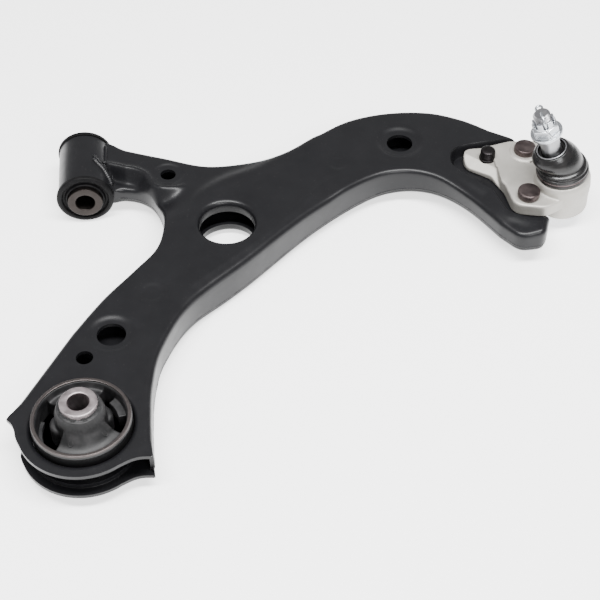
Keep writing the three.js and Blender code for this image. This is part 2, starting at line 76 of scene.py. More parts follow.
MM = 0.001
SLEEVE_REACH = 23  # the rear sleeve's lower end, below the middle of the shells
sleeve_low, sleeve_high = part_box("rear_bush_inner_sleeve")
home = (sleeve_low + sleeve_high) / 2
home.z = sleeve_low.z + SLEEVE_REACH * MM
UPRIGHT = Matrix.Translation(home)
ALONG_Y = UPRIGHT @ Matrix.Rotation(math.radians(-90), 4, "X")

BALL = Vector((385.5, 206.4, 10))  # centre of the ball joint
HOUSING_LEAN = math.radians(-8)
STUD_LEAN = math.radians(-20)


def at_ball(lean):
    """The place of a piece made upright about the ball, leaned about Y."""
    return UPRIGHT @ Matrix.Translation(BALL * MM) @ Matrix.Rotation(lean, 4, "Y")


def shifted(x, y, z=0.0):
    """A plain move in bench millimetres."""
    return Matrix.Translation(Vector((x, y, z)) * MM)


print("bench origin in the frame:", [round(c, 4) for c in home])

# %% [markdown]
# ## From numbers to a mesh
#
# Every piece starts as a list of points and faces made by a formula. Two small helpers
# turn them into a Blender object: one merges the points that meet and turns the faces
# outwards, the other bakes a modifier's result into the mesh, so that the mesh holds the
# surface that is seen.

# %% Mesh helpers
scene = bpy.context.scene


def body(name, points, faces, place=None):
    """A mesh object from points in bench millimetres, standing where `place` puts it."""
    mesh = bpy.data.meshes.new(name)
    mesh.from_pydata((np.asarray(points, float) * MM).tolist(), [], faces)
    work = bmesh.new()
    work.from_mesh(mesh)
    bmesh.ops.remove_doubles(work, verts=work.verts, dist=0.005 * MM)
    bmesh.ops.recalc_face_normals(work, faces=work.faces)
    work.to_mesh(mesh)
    work.free()
    piece = bpy.data.objects.new(name, mesh)
    scene.collection.objects.link(piece)
    if place is not None:
        mesh.transform(place)
    return piece


def settle(piece):
    """Bakes the piece's modifiers into its mesh."""
    bpy.context.view_layer.update()
    shown = piece.evaluated_get(bpy.context.evaluated_depsgraph_get())
    piece.data = bpy.data.meshes.new_from_object(shown)
    piece.modifiers.clear()
    return piece


def modify(piece, kind, **settings):
    modifier = piece.modifiers.new(kind.lower(), kind)
    for name, value in settings.items():
        setattr(modifier, name, value)


def shade(piece, sharp_degrees=35):
    """Smooth shading, with a crisp line wherever two faces meet at a sharper angle."""
    piece.data.shade_smooth()
    piece.data.set_sharp_from_angle(angle=math.radians(sharp_degrees))


# %% [markdown]
# ## Curves for outlines and profiles
#
# A pressing's outline is a few arcs and easy curves, and a turned piece's profile is a
# few straight cuts with small radii at their corners. These helpers give points along
# them, and re-space the points evenly so that the mesh built on them has even faces.

# %% Arcs, curves and corners


def arc(x, y, r, start, end, steps):
    turn = np.linspace(start, end, steps + 1)
    return np.column_stack([x + r * np.cos(turn), y + r * np.sin(turn)])


def spline(knots, steps):
    """An easy curve through all the knots."""
    knots = np.asarray(knots, float)
    last = len(knots) - 1
    points = []
    for t in np.linspace(0, last, steps + 1):
        i = min(int(t), last - 1)
        w = t - i
        a, b, c, d = (knots[min(max(k, 0), last)] for k in (i - 1, i, i + 1, i + 2))
        out, into = (c - a) / 2, (d - b) / 2
        cubic = (2 * b - 2 * c + out + into) * w**3
        square = (-3 * b + 3 * c - 2 * out - into) * w**2
        points.append(cubic + square + out * w + b)
    return np.array(points)


def rounded(corners, closed=True):
    """Corners (x, y, radius) joined by straight lines; a corner without a radius is sharp."""
    points = []
    for i, corner in enumerate(corners):
        here = np.array(corner[:2], float)
        radius = corner[2] if len(corner) > 2 else 0
        at_end = not closed and i in (0, len(corners) - 1)
        if radius == 0 or at_end:
            points.append(here)
            continue
        back = np.array(corners[i - 1][:2], float) - here
        on = np.array(corners[(i + 1) % len(corners)][:2], float) - here
        back /= np.linalg.norm(back)
        on /= np.linalg.norm(on)
        half = math.acos(np.clip(back @ on, -1, 1)) / 2
        reach = radius / math.tan(half)
        for w in np.linspace(0, 1, 7):
            points.append(here + back * reach * (1 - w) ** 2 + on * reach * w**2)
    return np.array(points)


def evenly(points, spacing, closed=True):
    """The same line with its points a steady distance apart."""
    line = np.vstack([points, points[:1]]) if closed else np.asarray(points)
    length = np.concatenate([[0], np.cumsum(np.linalg.norm(np.diff(line, axis=0), axis=1))])
    count = max(3, round(length[-1] / spacing))
    stops = np.linspace(0, length[-1], count + 1)
    if closed:
        stops = stops[:-1]
    return np.column_stack([np.interp(stops, length, line[:, k]) for k in range(line.shape[1])])


# %% [markdown]
# Heights fade in and out over a distance, so the same cell of helpers measures how far a
# point is from a line, and on which side of a closed loop it lies.

# %% Fades and distances


def ease(low, high, value):
    """0 below low, 1 above high, and an easy S between them."""
    t = np.clip((value - low) / (high - low), 0, 1)
    return t * t * t * (t * (6 * t - 15) + 10)


def distance_to(points, line, closed=False):
    """Distance in plan from each point to a line of points."""
    ends = np.roll(line, -1, 0) if closed else line[1:]
    starts = line if closed else line[:-1]
    nearest = np.full(len(points), np.inf)
    for a, b in zip(starts, ends):
        along = b - a
        share = np.clip((points - a) @ along / max(along @ along, 1e-9), 0, 1)
        gap = np.linalg.norm(points - a - share[:, None] * along, axis=1)
        nearest = np.minimum(nearest, gap)
    return nearest


def inside(points, loop):
    """Whether each point lies inside the closed loop, by counting crossings."""
    crossings = np.zeros(len(points), int)
    for a, b in zip(loop, np.roll(loop, -1, 0)):
        spans = (a[1] > points[:, 1]) != (b[1] > points[:, 1])
        rise = b[1] - a[1] if b[1] != a[1] else 1e-9
        crosses = points[:, 0] < a[0] + (points[:, 1] - a[1]) * (b[0] - a[0]) / rise
        crossings += spans & crosses
    return crossings % 2 == 1


def beyond(points, loop):
    """Distance outside a closed loop, negative inside it."""
    gap = distance_to(points, loop, closed=True)
    return np.where(inside(points, loop), -gap, gap)


square = rounded([(-10, -10, 3), (10, -10, 3), (10, 10, 3), (-10, 10, 3)])
print("a 20 mm square's wall from its middle:", float(beyond(np.zeros((1, 2)), square)[0]), "mm")

# %% [markdown]
# ## The arm's outline
#
# Both shells are blanked to one outline: a half round about the rear bush, an easy
# S-shaped near edge out to the ball joint, two horns that hold the bracket between them,
# the far edge, the neck to the front eye, and the throat that leaves room for the
# subframe.

# %% Outline of the shells
LEFT_EAR = (-52, 9)
RIGHT_EAR = (47.5, -33)
NEAR_EDGE = [
    RIGHT_EAR, (47.3, 0), (49.5, 33), (58, 67), (81.5, 108), (127, 148), (181, 196),
    (226, 226), (256, 234), (283, 226), (307, 202), (327, 168),
]
NEAR_HORN = [(340, 151, 14), (360, 152, 9), (367, 170, 7)]
FAR_HORN = [(377, 250, 9), (355, 269, 8)]
FAR_EDGE = [
    (340, 279), (320, 295), (292, 307.8), (256, 310.6), (222, 303.5), (192, 286), (165, 268),
    (138, 261.5), (100, 260.5), (62, 274), (22, 291),
]
THROAT = [
    (10, 245), (34, 244.5), (51, 236), (60, 218), (62.5, 195), (56, 168), (38, 145),
    (14, 117), (-8, 85),
]
REAR_PLATE_R = 44.8
NECK_END = 10  # the neck's end before it is fitted to the eye tube

horns = rounded([NEAR_EDGE[-1], *NEAR_HORN, *FAR_HORN, FAR_EDGE[0]], closed=False)
arm_outline = evenly(
    np.vstack([
        spline([LEFT_EAR, (-48.4, 4.5), (-46.4, -1), (-45.4, -7), (-42.4, -14.5)], 16)[:-1],
        arc(0, 0, REAR_PLATE_R, math.pi + 0.33, math.pi * 1.69, 40),
        spline([(25.2, -37.3), (32, -34), (39, -32.4), RIGHT_EAR], 12)[1:-1],
        spline(NEAR_EDGE, 200),
        horns[1:-1],
        spline(FAR_EDGE, 160),
        [(NECK_END, 295)],
        spline(THROAT, 120),
    ]),
    2.1,
)
print("outline:", len(arm_outline), "points")

# %% [markdown]
# ## Bench heights of the two shells
#
# The upper shell's top face is level, and everything that was pressed into it is a small
# change of height: the pocket for the bracket, the scoop beside the neck, the shallow
# round seats about the tooling holes, two dimples, a soft step where the neck's branch
# meets the main beam, and a long shoulder beside the near fold. So the whole top is one
# height formula over the plan. A sculpted mesh could do the same, but a formula keeps each
# feature where its number says.

# %% Features pressed into the upper shell
TOP = 12
SHEET = 3
POCKET_FLOOR = 2
POCKET_WALL = 4.0  # the wall's run outwards from the pocket's floor
POCKET = rounded([
    (303, 240, 12), (309, 231, 12), (331, 205, 12), (337, 181, 10), (352, 172, 6),
    (400, 174), (400, 262), (350, 262, 8), (322, 259, 14), (306, 256, 12),
])
SCOOP_CREST = spline([
    (4, 269), (18.8, 265.7), (31.8, 261.8), (41.5, 258.3), (49, 252.6), (53, 244.1),
    (56, 237.3), (62.4, 233.5), (73.1, 232.4), (80.7, 234.7),
], 60)
SCOOP = np.vstack([SCOOP_CREST, [(92, 236), (94, 205), (80, 180), (40, 175), (4, 225)]])
SCOOP_VALLEY = spline([(14, 259), (36, 252.5), (46, 246), (52.5, 237), (58, 229)], 30)
THROAT_CREST = spline([(14, 251.5), (34, 249.5), (48, 238), (56, 226), (62, 212), (66, 200)], 30)
BRANCH_LINE = spline([(196, 281), (178, 268), (143, 246), (114, 234), (92, 218), (84, 200)], 40)
SHOULDER = spline([
    (74, 118), (84.7, 127), (99.7, 139), (116, 152.6), (138, 170), (162.5, 194), (189.6, 221.6),
    (206, 233),
], 40)
CENTRE_HOLE = (112.3, 189.3)
CENTRE_R = 22
SEATED_HOLES = [  # x, y, hole radius, seat's flat radius, seat's outer radius, depth
    (262.2, 270.7, 10.7, 13.5, 21.5, 2.0),
    (20.6, 81, 10.7, 12.5, 20, 1.6),
    (68.3, 251, 6.2, 9.5, 14.5, 1.3),
]
PLAIN_HOLES = [(1.4, 59.4, 6.2)]
DIMPLES = [(51.4, 119.1, 4.5, 12, 0.8), (207.6, 249.1, 3.5, 9.5, 0.7)]
print("holes with a seat:", len(SEATED_HOLES), "and plain:", len(PLAIN_HOLES))

# %% [markdown]
# Each feature adds or takes a little height, and fades out along X or Y where the real
# pressing runs level again.

# %% Height of the upper shell
BRANCH_RIDGE, BRANCH_STEP = 1.9, 1.6  # where the neck's branch meets the main beam
SHOULDER_FALL, SHOULDER_LINE = 0.14, 0.5  # fall per mm towards the edge, and its crisp top
SCOOP_DEPTH, SCOOP_RIDGE = 10.0, 2.1
THROAT_RIDGE, VALLEY_DEPTH = 0.9, 1.4
NEAR_LIP_DROP = 2.6  # beside the pocket, on the near side


def mound(points, line, half_width):
    """A soft ridge of height 1 along a line."""
    return np.exp(-((distance_to(points, line) / half_width) ** 2))


def round_seat(points, x, y, flat, outer, depth):
    return -depth * (1 - ease(flat, outer, np.hypot(points[:, 0] - x, points[:, 1] - y)))


def upper_height(points):
    x, y = points[:, 0], points[:, 1]
    height = np.full(len(points), float(TOP))
    branch = y - np.interp(x, BRANCH_LINE[::-1, 0], BRANCH_LINE[::-1, 1])
    fading = ease(60, 110, x) * (1 - ease(186, 204, x))
    height += BRANCH_RIDGE * fading * mound(points, BRANCH_LINE, 9)
    height -= BRANCH_STEP * fading * ease(0, 20, branch)
    past = np.minimum(distance_to(points, SHOULDER), 16)
    side = y < np.interp(x, SHOULDER[:, 0], SHOULDER[:, 1])
    ends = ease(62, 92, x) * (1 - ease(186, 214, x))
    height -= np.where(side, SHOULDER_FALL * past, 0) * ends
    height += SHOULDER_LINE * ends * mound(points, SHOULDER, 2.2)
    for x0, y0, _, flat, outer, depth in SEATED_HOLES:
        height += round_seat(points, x0, y0, flat, outer, depth)
    for x0, y0, flat, outer, depth in DIMPLES:
        height += round_seat(points, x0, y0, flat, outer, depth)
    fade = (1 - ease(52, 90, x)) * ease(186, 234, y)
    height -= SCOOP_DEPTH * fade * (1 - ease(-13, 1.5, beyond(points, SCOOP)))
    valley = mound(points, SCOOP_VALLEY, 4.2)
    crest = mound(points, THROAT_CREST, 4.5)
    height += fade * (THROAT_RIDGE * crest - VALLEY_DEPTH * valley)
    ridge = mound(points, SCOOP_CREST, 3.2)
    height += SCOOP_RIDGE * ridge * (1 - ease(70, 90, x))
    from_pocket = beyond(points, POCKET)
    near_lip = ease(280, 318, x) * (1 - ease(338, 362, x)) * (1 - ease(228, 250, y))
    height -= NEAR_LIP_DROP * near_lip * ease(POCKET_WALL, 17, from_pocket)
    wall = ease(-0.6, POCKET_WALL, from_pocket)
    return POCKET_FLOOR + (height - POCKET_FLOOR) * wall


print("pocket depth:", TOP - POCKET_FLOOR, "mm; dimples:", len(DIMPLES))

# %% [markdown]
# The lower shell is a shallow tray that closes the box from below. Its floor is deepest
# under the centre hole, rises towards both ends, and steps up to a pad that meets the
# bracket's pocket, so that the fasteners clamp steel on steel.

# %% Heights of the lower shell and the seam
UNDERSIDE = [
    (-70, -12.5), (45, -12.5), (100, -22), (140, -20.8), (220, -17), (262, -13.5),
    (300, -9.5), (400, -9.5),
]
SEAM_LIFT = 6  # the upper shell's lower edge above the underside
PAD = -4.3
PAD_OUTLINE = rounded([
    (308, 240, 10), (313, 232, 10), (334, 207, 10), (340, 184, 8), (354, 176, 5),
    (400, 178), (400, 258), (351, 258, 7), (324, 255, 12), (310, 252, 10),
])


def underside(x):
    """The underside's height along X, with its bends eased over about 20 mm."""
    line = np.array(UNDERSIDE, float)
    steps = np.linspace(-10, 10, 9)
    return np.mean([np.interp(x + s, line[:, 0], line[:, 1]) for s in steps], axis=0)


def lower_height(points):
    height = underside(points[:, 0])
    for x0, y0, _, flat, outer, depth in SEATED_HOLES[:2]:
        height -= round_seat(points, x0, y0, flat, outer, depth)
    height -= round_seat(points, *CENTRE_HOLE, CENTRE_R + 7, CENTRE_R + 14, 1.6)
    pad = 1 - ease(-0.5, 5.5, beyond(points, PAD_OUTLINE))
    return height + (PAD - height) * pad


def upper_seam(x):
    return underside(x) + SEAM_LIFT


def lower_seam(x):
    return underside(x) + SEAM_LIFT - 0.3


print("underside under the centre hole:", round(float(underside(CENTRE_HOLE[0])), 1), "mm")

# %% [markdown]
# ## How a shell is meshed
#
# A pressing has three kinds of surface, and each gets the mesh that suits it. The fold
# round the edge is a stack of rings that follow the outline round a quarter circle. The
# wall below it is more rings, going straight down. The field inside is a triangle mesh
# over an even grid of points, closer together where something is pressed in. Holes with a
# rolled rim get rings of their own. One solidify modifier then gives the skin the sheet's
# thickness, as the press brake leaves it.

# %% Points for the mesh
FOLD = 4.4
TRIM_FOLD = 1.2  # along trimmed edges and at corners
TRIM_CORNERS = [LEFT_EAR, RIGHT_EAR, (NECK_END, 295), (NECK_END, 245)]
FOLD_STEPS = 7
TUBE_REACH = 21.7  # radius that the neck's end is fitted to
MOUTH = np.array([
    (-49, 13), (-70, 12), (-70, -80), (70, -80), (70, -34), (44, -29.5), (20, 10), (-20, 15),
], float)


def grid(loop, coarse, fine, busy):
    """Points of a triangular grid inside the loop, closer together where busy(points)."""
    low, high = loop.min(0), loop.max(0)
    rows = np.arange(0, (high[1] - low[1]) / (fine * math.sqrt(0.75)))
    columns = np.arange(0, (high[0] - low[0]) / fine + 1)
    i, j = np.meshgrid(columns, rows)
    x = low[0] + fine * (i + 0.5 * (j % 2))
    y = low[1] + fine * math.sqrt(0.75) * j
    points = np.column_stack([x.ravel(), y.ravel()])
    every = round(coarse / fine)
    sparse = ((j % every == 0) & ((i + j // 2) % every == 0)).ravel()
    points = points[sparse | busy(points)]
    points = points[inside(points, loop)]
    return points[distance_to(points, loop, closed=True) > 0.7 * fine]


def ring(x, y, r, spacing):
    return arc(x, y, r, 0, 2 * math.pi, max(24, round(2 * math.pi * r / spacing)))[:-1]


def strips(first, count, rows, links):
    """Quads between the rows of points that start at `first`, on the links that are kept."""
    faces = []
    for row in range(rows - 1):
        for i in np.flatnonzero(links):
            a = first + row * count + i
            b = first + row * count + (i + 1) % count
            faces.append((a, b, b + count, a + count))
    return faces


def beside(line, offsets, spacing):
    """Points in rows beside a closed line, so that a steep wall gets an even mesh."""
    line = evenly(line, spacing)
    way = np.roll(line, -1, 0) - np.roll(line, 1, 0)
    way /= np.linalg.norm(way, axis=1)[:, None]
    outward = np.column_stack([way[:, 1], -way[:, 0]])
    if beyond(line[:1] + outward[:1], line)[0] < 0:
        outward = -outward
    return np.vstack([line + outward * d for d in offsets])


print("round rim of the centre hole:", len(ring(*CENTRE_HOLE, CENTRE_R, 1.35)), "points")

# %% [markdown]
# The skin is then laid in that order: the fold, the wall, the rolled rims, and last the
# field, which a triangulation fills between the rims and the fold's inner edge.

# %% The pressing function
WALL_ROWS = 6
LEAST_WALL = 4.2  # below this much room the edge is only folded


def pressing(loop, height, seam, up, collars, pierced, spacing, busy, rows_beside):
    """The outer skin of one shell: points in millimetres, and faces."""
    count = len(loop)
    ahead = np.roll(loop, -1, 0) - loop
    behind = loop - np.roll(loop, 1, 0)
    along = ahead / np.linalg.norm(ahead, axis=1)[:, None]
    along += behind / np.linalg.norm(behind, axis=1)[:, None]
    along /= np.linalg.norm(along, axis=1)[:, None]
    inward = np.column_stack([-along[:, 1], along[:, 0]])
    room = up * (height(loop) - seam(loop[:, 0]))
    corner = np.min([np.hypot(*(loop - c).T) for c in TRIM_CORNERS], axis=0)
    fold = np.clip(0.62 * room, SHEET + 0.3, FOLD)
    fold = TRIM_FOLD + (fold - TRIM_FOLD) * ease(2, 22, corner) * ~inside(loop, MOUTH)
    walled = (room > LEAST_WALL) & ~inside(loop, MOUTH)
    walled &= ~((loop[:, 0] < NECK_END + 0.4) & (loop[:, 1] > 200))
    share = np.mean([np.roll(walled, k) for k in (-1, 0, 1)], axis=0) * walled
    points, faces = [], []

    def keep(plan, z):
        points.append(np.column_stack([plan, z]))
        return sum(len(p) for p in points) - len(z)

    start = None
    for turn in np.linspace(0, math.pi / 2, FOLD_STEPS + 1):
        edge = loop + inward * (fold * (1 - math.cos(turn)))[:, None]
        z = height(edge) - up * share * fold * (1 - math.sin(turn))
        first = keep(edge, z)
        start = first if start is None else start
    faces += strips(start, count, FOLD_STEPS + 1, np.ones(count, bool))
    full = share == 1
    start = sum(len(p) for p in points)
    for drop in np.linspace(0, 1, WALL_ROWS):
        top = height(loop) - up * share * fold
        keep(loop, top + (seam(loop[:, 0]) - top) * drop * full)
    faces += strips(start, count, WALL_ROWS, full & np.roll(full, -1))
    rims = []
    for x, y, r, roll, depth in collars:
        loops = ring(x, y, 1, 0.5 * spacing / r) - (x, y)
        start = sum(len(p) for p in points)
        for turn in np.linspace(math.pi / 2, 0, FOLD_STEPS + 1):
            rim = (x, y) + loops * (r + roll * (1 - math.cos(turn)))
            keep(rim, height(rim) - up * roll * (1 - math.sin(turn)))
        rim = (x, y) + loops * r
        for drop in np.linspace(roll, depth, 4)[1:]:
            keep(rim, height(rim) - up * drop)
        faces += strips(start, len(loops), FOLD_STEPS + 4, np.ones(len(loops), bool))
        rims.append(((x, y) + loops * (r + roll), r + roll))
    rims += [(ring(x, y, r, spacing * 0.6), r) for x, y, r in pierced]
    field = grid(edge, 2 * spacing, spacing, busy)
    rows_beside = rows_beside[inside(rows_beside, edge)]
    rows_beside = rows_beside[distance_to(rows_beside, edge, closed=True) > 0.6]
    gaps = [np.hypot(*(rows_beside - p).T).min() for p in field]
    field = np.vstack([field[np.array(gaps) > 0.75 * spacing], rows_beside])
    for rim, r in rims:
        middle = rim.mean(0)
        away = np.linalg.norm(field - middle, axis=1)
        field = field[away > r + 0.6 * spacing]
    plan = [edge]
    links = [(i, (i + 1) % count) for i in range(count)]
    for rim, r in rims:
        first = sum(len(p) for p in plan)
        plan.append(rim)
        links += [(first + i, first + (i + 1) % len(rim)) for i in range(len(rim))]
    plan.append(field)
    flat = [Vector(p) for p in np.vstack(plan)]
    found = geometry.delaunay_2d_cdt(flat, links, [], 0, 1e-6)
    corners = np.array([tuple(v) for v in found[0]])
    triangles = np.array(found[2])
    middles = corners[triangles].mean(1)
    good = inside(middles, edge)
    for rim, r in rims:
        good &= ~inside(middles, rim)
    first = keep(corners, height(corners))
    faces += (triangles[good] + first).tolist()
    return np.vstack(points), faces


# %% [markdown]
# Two steps are left: the neck's end moves up to the eye tube's surface, and the skin gets
# the sheet's thickness.

# %% Fit and thickness


def fit_to_eye(points):
    """Moves the neck's end up to the round surface of the eye tube."""
    x, z = points[:, 0], points[:, 2]
    surface = np.sqrt(np.maximum(TUBE_REACH**2 - z**2, 0))
    near = np.clip((34 - x) / (34 - NECK_END), 0, 1) * (points[:, 1] > 200)
    points[:, 0] = x + near * (surface - NECK_END)
    return points


def thicken(piece, up):
    """Turns the skin's faces outwards and gives it the sheet's thickness."""
    normals = np.zeros(len(piece.data.polygons) * 3)
    piece.data.polygons.foreach_get("normal", normals)
    if normals[2::3].sum() * up < 0:
        piece.data.flip_normals()
    modify(piece, "SOLIDIFY", thickness=SHEET * MM, offset=-1, use_quality_normals=True)
    return settle(piece)


# %% [markdown]
# ## The upper shell
#
# Hot-rolled steel sheet about 3 mm thick, blanked, drawn in one stroke and pierced. The
# centre hole and the bush hole have rims rolled down into the box, which stiffens them and
# leaves no edge to crack; the rest are plain pierced holes.

# %% Press the upper shell
BOLTS = [(354, 192.5), (362.5, 245.5), (331, 243.5)]
BOLT_R = 6.5
BUSH_R = 35.4


def busy_upper(points):
    x, y = points[:, 0], points[:, 1]
    close = (x < 98) & (y > 186)
    close |= np.abs(beyond(points, POCKET) - 4) < 9
    for x0, y0, _, _, outer, _ in SEATED_HOLES:
        close |= np.hypot(x - x0, y - y0) < outer + 3
    for x0, y0, _, outer, _ in DIMPLES:
        close |= np.hypot(x - x0, y - y0) < outer + 3
    return close


skin, faces = pressing(
    arm_outline, upper_height, upper_seam, 1,
    collars=[(*CENTRE_HOLE, CENTRE_R, 4.5, 10), (0, 0, BUSH_R, 3.6, 7)],
    pierced=[h[:3] for h in SEATED_HOLES] + PLAIN_HOLES + [(x, y, BOLT_R) for x, y in BOLTS],
    spacing=1.35, busy=busy_upper, rows_beside=beside(POCKET, np.arange(-1.2, 5.5, 0.6), 0.9),
)
upper_shell = thicken(body("upper_shell_pressing", fit_to_eye(skin), faces, UPRIGHT), 1)
print("upper shell:", len(upper_shell.data.polygons), "faces")

# %% [markdown]
# ## The lower shell
#
# The same way of working, upside down. Its wall is only as high as the seam, and it stands
# half a millimetre inside the upper shell's wall, where the weld runs. Under the bracket
# and at the left ear it stays inside the upper shell's edge.

# %% Press the lower shell
lower_room = lower_seam(arm_outline[:, 0]) - lower_height(arm_outline)
tuck = np.where(inside(arm_outline, MOUTH), 0, np.where(lower_room > LEAST_WALL, 0.5, 3.5))
tuck = tuck + 6 * (1 - ease(4, 18, np.hypot(*(arm_outline - LEFT_EAR).T)))
tuck = np.mean([np.roll(tuck, k) for k in range(-3, 4)], axis=0)
way = np.roll(arm_outline, -1, 0) - np.roll(arm_outline, 1, 0)
way /= np.linalg.norm(way, axis=1)[:, None]
lower_outline = arm_outline + np.column_stack([-way[:, 1], way[:, 0]]) * tuck[:, None]


def busy_lower(points):
    close = np.abs(beyond(points, PAD_OUTLINE) - 2.5) < 5
    for x0, y0, _, _, outer, _ in SEATED_HOLES[:2]:
        close |= np.hypot(points[:, 0] - x0, points[:, 1] - y0) < outer + 2
    return close


skin, faces = pressing(
    lower_outline, lower_height, lower_seam, -1,
    collars=[(*CENTRE_HOLE, CENTRE_R, 4, 8), (0, 0, BUSH_R, 3.6, 7)],
    pierced=[(x, y, 0.5 * r) for x, y, r, *_ in SEATED_HOLES + PLAIN_HOLES]
    + [(x, y, BOLT_R) for x, y in BOLTS],
    spacing=1.6, busy=busy_lower, rows_beside=beside(PAD_OUTLINE, np.arange(-1, 6.5, 1.0), 1.2),
)
lower_shell = thicken(body("lower_shell_pressing", fit_to_eye(skin), faces, UPRIGHT), -1)
print("lower shell:", len(lower_shell.data.polygons), "faces")

# %% [markdown]
# ## Turned pieces and wires
#
# Sleeves, rings, studs and the rubber boot are round, so each is a profile spun about its
# axis, with small radii drawn at the profile's corners: a real edge is never knife sharp,
# and the thin highlight along it is what makes it look machined. Wires and weld beads are
# a circle carried along a path.

# %% Lathe and sweep


def turned(profile, segments=96):
    """Points and faces of a profile of (radius, height) spun about the upright axis."""
    profile = np.asarray(profile, float)
    turn = np.linspace(0, 2 * math.pi, segments, endpoint=False)
    r = np.repeat(profile[:, 0], segments)
    h = np.repeat(profile[:, 1], segments)
    a = np.tile(turn, len(profile))
    points = np.column_stack([r * np.cos(a), r * np.sin(a), h])
    on_axis = profile[0, 0] < 1e-9
    rows = len(profile) if on_axis else len(profile) + 1
    faces = []
    for j in range(rows - 1):
        k = (j + 1) % len(profile)
        for i in range(segments):
            n = (i + 1) % segments
            faces.append((j * segments + i, j * segments + n, k * segments + n, k * segments + i))
    return points, faces


def swept(path, radius, sides=10, closed=False):
    """Points and faces of a round bead along a path; the radius may change along it."""
    path = np.asarray(path, float)
    radii = np.broadcast_to(radius, len(path))
    if closed:
        tangents = np.roll(path, -1, 0) - np.roll(path, 1, 0)
    else:
        tangents = np.gradient(path, axis=0)
    tangents /= np.linalg.norm(tangents, axis=1)[:, None]
    side = np.cross(tangents[0], (0.3, 0.2, 0.93))
    points = []
    for middle, tangent, r in zip(path, tangents, radii):
        side = side - tangent * (side @ tangent)
        side /= np.linalg.norm(side)
        other = np.cross(tangent, side)
        for a in np.linspace(0, 2 * math.pi, sides, endpoint=False):
            points.append(middle + r * (math.cos(a) * side + math.sin(a) * other))
    faces = []
    count = len(path)
    for j in range(count if closed else count - 1):
        k = (j + 1) % count
        for i in range(sides):
            n = (i + 1) % sides
            faces.append((j * sides + i, j * sides + n, k * sides + n, k * sides + i))
    if not closed:
        faces += [tuple(range(sides))[::-1], tuple((count - 1) * sides + i for i in range(sides))]
    return np.array(points), faces


def prism(outline, bottom, top, ease_top=0.0):
    """Points and faces of an upright prism, with its top edge rounded."""
    outline = np.asarray(outline, float)
    count = len(outline)
    way = np.roll(outline, -1, 0) - np.roll(outline, 1, 0)
    way /= np.linalg.norm(way, axis=1)[:, None]
    inward = np.column_stack([-way[:, 1], way[:, 0]])
    levels = [(0, bottom)]
    if ease_top:
        levels += [
            (ease_top * (1 - math.cos(t)), top - ease_top * (1 - math.sin(t)))
            for t in np.linspace(0, math.pi / 2, 5)
        ]
    else:
        levels.append((0, top))
    layers = [np.column_stack([outline + inward * d, np.full(count, z)]) for d, z in levels]
    points = np.vstack(layers)
    faces = strips(0, count, len(levels), np.ones(count, bool))
    last = (len(levels) - 1) * count
    faces += [tuple(range(count))[::-1], tuple(last + i for i in range(count))]
    return points, faces


def hexagon(flats, turn=0.0):
    r = flats / 2 / math.cos(math.pi / 6)
    angles = [turn + k * math.pi / 3 for k in range(6)]
    return [(r * math.cos(a), r * math.sin(a)) for a in angles]


# %% [markdown]
# Solid bodies are cut and joined like workpieces, and a cast or moulded piece is melted
# into one skin of even grain, which rounds all its corners at once.

# %% Cut, join and melt


def combine(piece, others, operation="DIFFERENCE"):
    """Cuts the other bodies from the piece, or joins or intersects them, and drops them."""
    for other in others:
        modify(piece, "BOOLEAN", operation=operation, object=other, solver="EXACT")
        settle(piece)
        bpy.data.objects.remove(other)
    return piece


def melt(pieces, grain, rounds, strength=0.5):
    """Joins bodies into one skin of even grain and eases its corners, as a casting's are."""
    with bpy.context.temp_override(active_object=pieces[0], selected_editable_objects=pieces):
        if len(pieces) > 1:
            bpy.ops.object.join()
    piece = pieces[0]
    modify(piece, "REMESH", mode="VOXEL", voxel_size=grain * MM)
    modify(piece, "SMOOTH", factor=strength, iterations=rounds)
    return settle(piece)


# %% [markdown]
# ## The front eye
#
# A short length of drawn tube is welded across the neck's end. It goes through the same
# electrocoat as the shells, so the weld shows only as a rippled bead under the paint, with
# a few blobs where the arc was struck.

# %% Eye tube
EYE_NEAR, EYE_FAR = 243, 295
eye_profile = rounded([
    (18.5, EYE_NEAR, 0.5), (21.5, EYE_NEAR, 0.9), (21.5, EYE_FAR, 0.9), (18.5, EYE_FAR, 0.5),
])
eye_tube = body("eye_tube", *turned(eye_profile), ALONG_Y)
print("eye tube:", EYE_FAR - EYE_NEAR, "mm long,", len(eye_tube.data.polygons), "faces")

# %% [markdown]
# A bead is swept along a path whose knots are given on the tube itself: the angle round
# it, the place along it and how far the bead's middle stands out.

# %% Eye weld


def rippled(path, radius, seed, pitch=1.7):
    """A weld bead along a path: overlapping ripples with a little unevenness."""
    path = evenly(np.asarray(path, float), 0.5, closed=False)
    uneven = np.random.default_rng(seed).normal(0, 1, len(path))
    uneven = np.convolve(uneven, np.ones(9) / 9, "same")
    along = np.arange(len(path)) * 0.5
    ripple = np.abs(np.sin(math.pi * along / pitch))
    taper = np.minimum(1, np.minimum(along, along[::-1]) / 3 + 0.25)
    return swept(path, radius * (0.86 + 0.16 * ripple + 0.12 * uneven) * taper, 10)


def on_tube(angle, y, out=0.0):
    """A point on the eye tube; the angle runs from outboard up over the top."""
    r = 21.5 + out
    return (r * math.cos(angle), y, r * math.sin(angle))


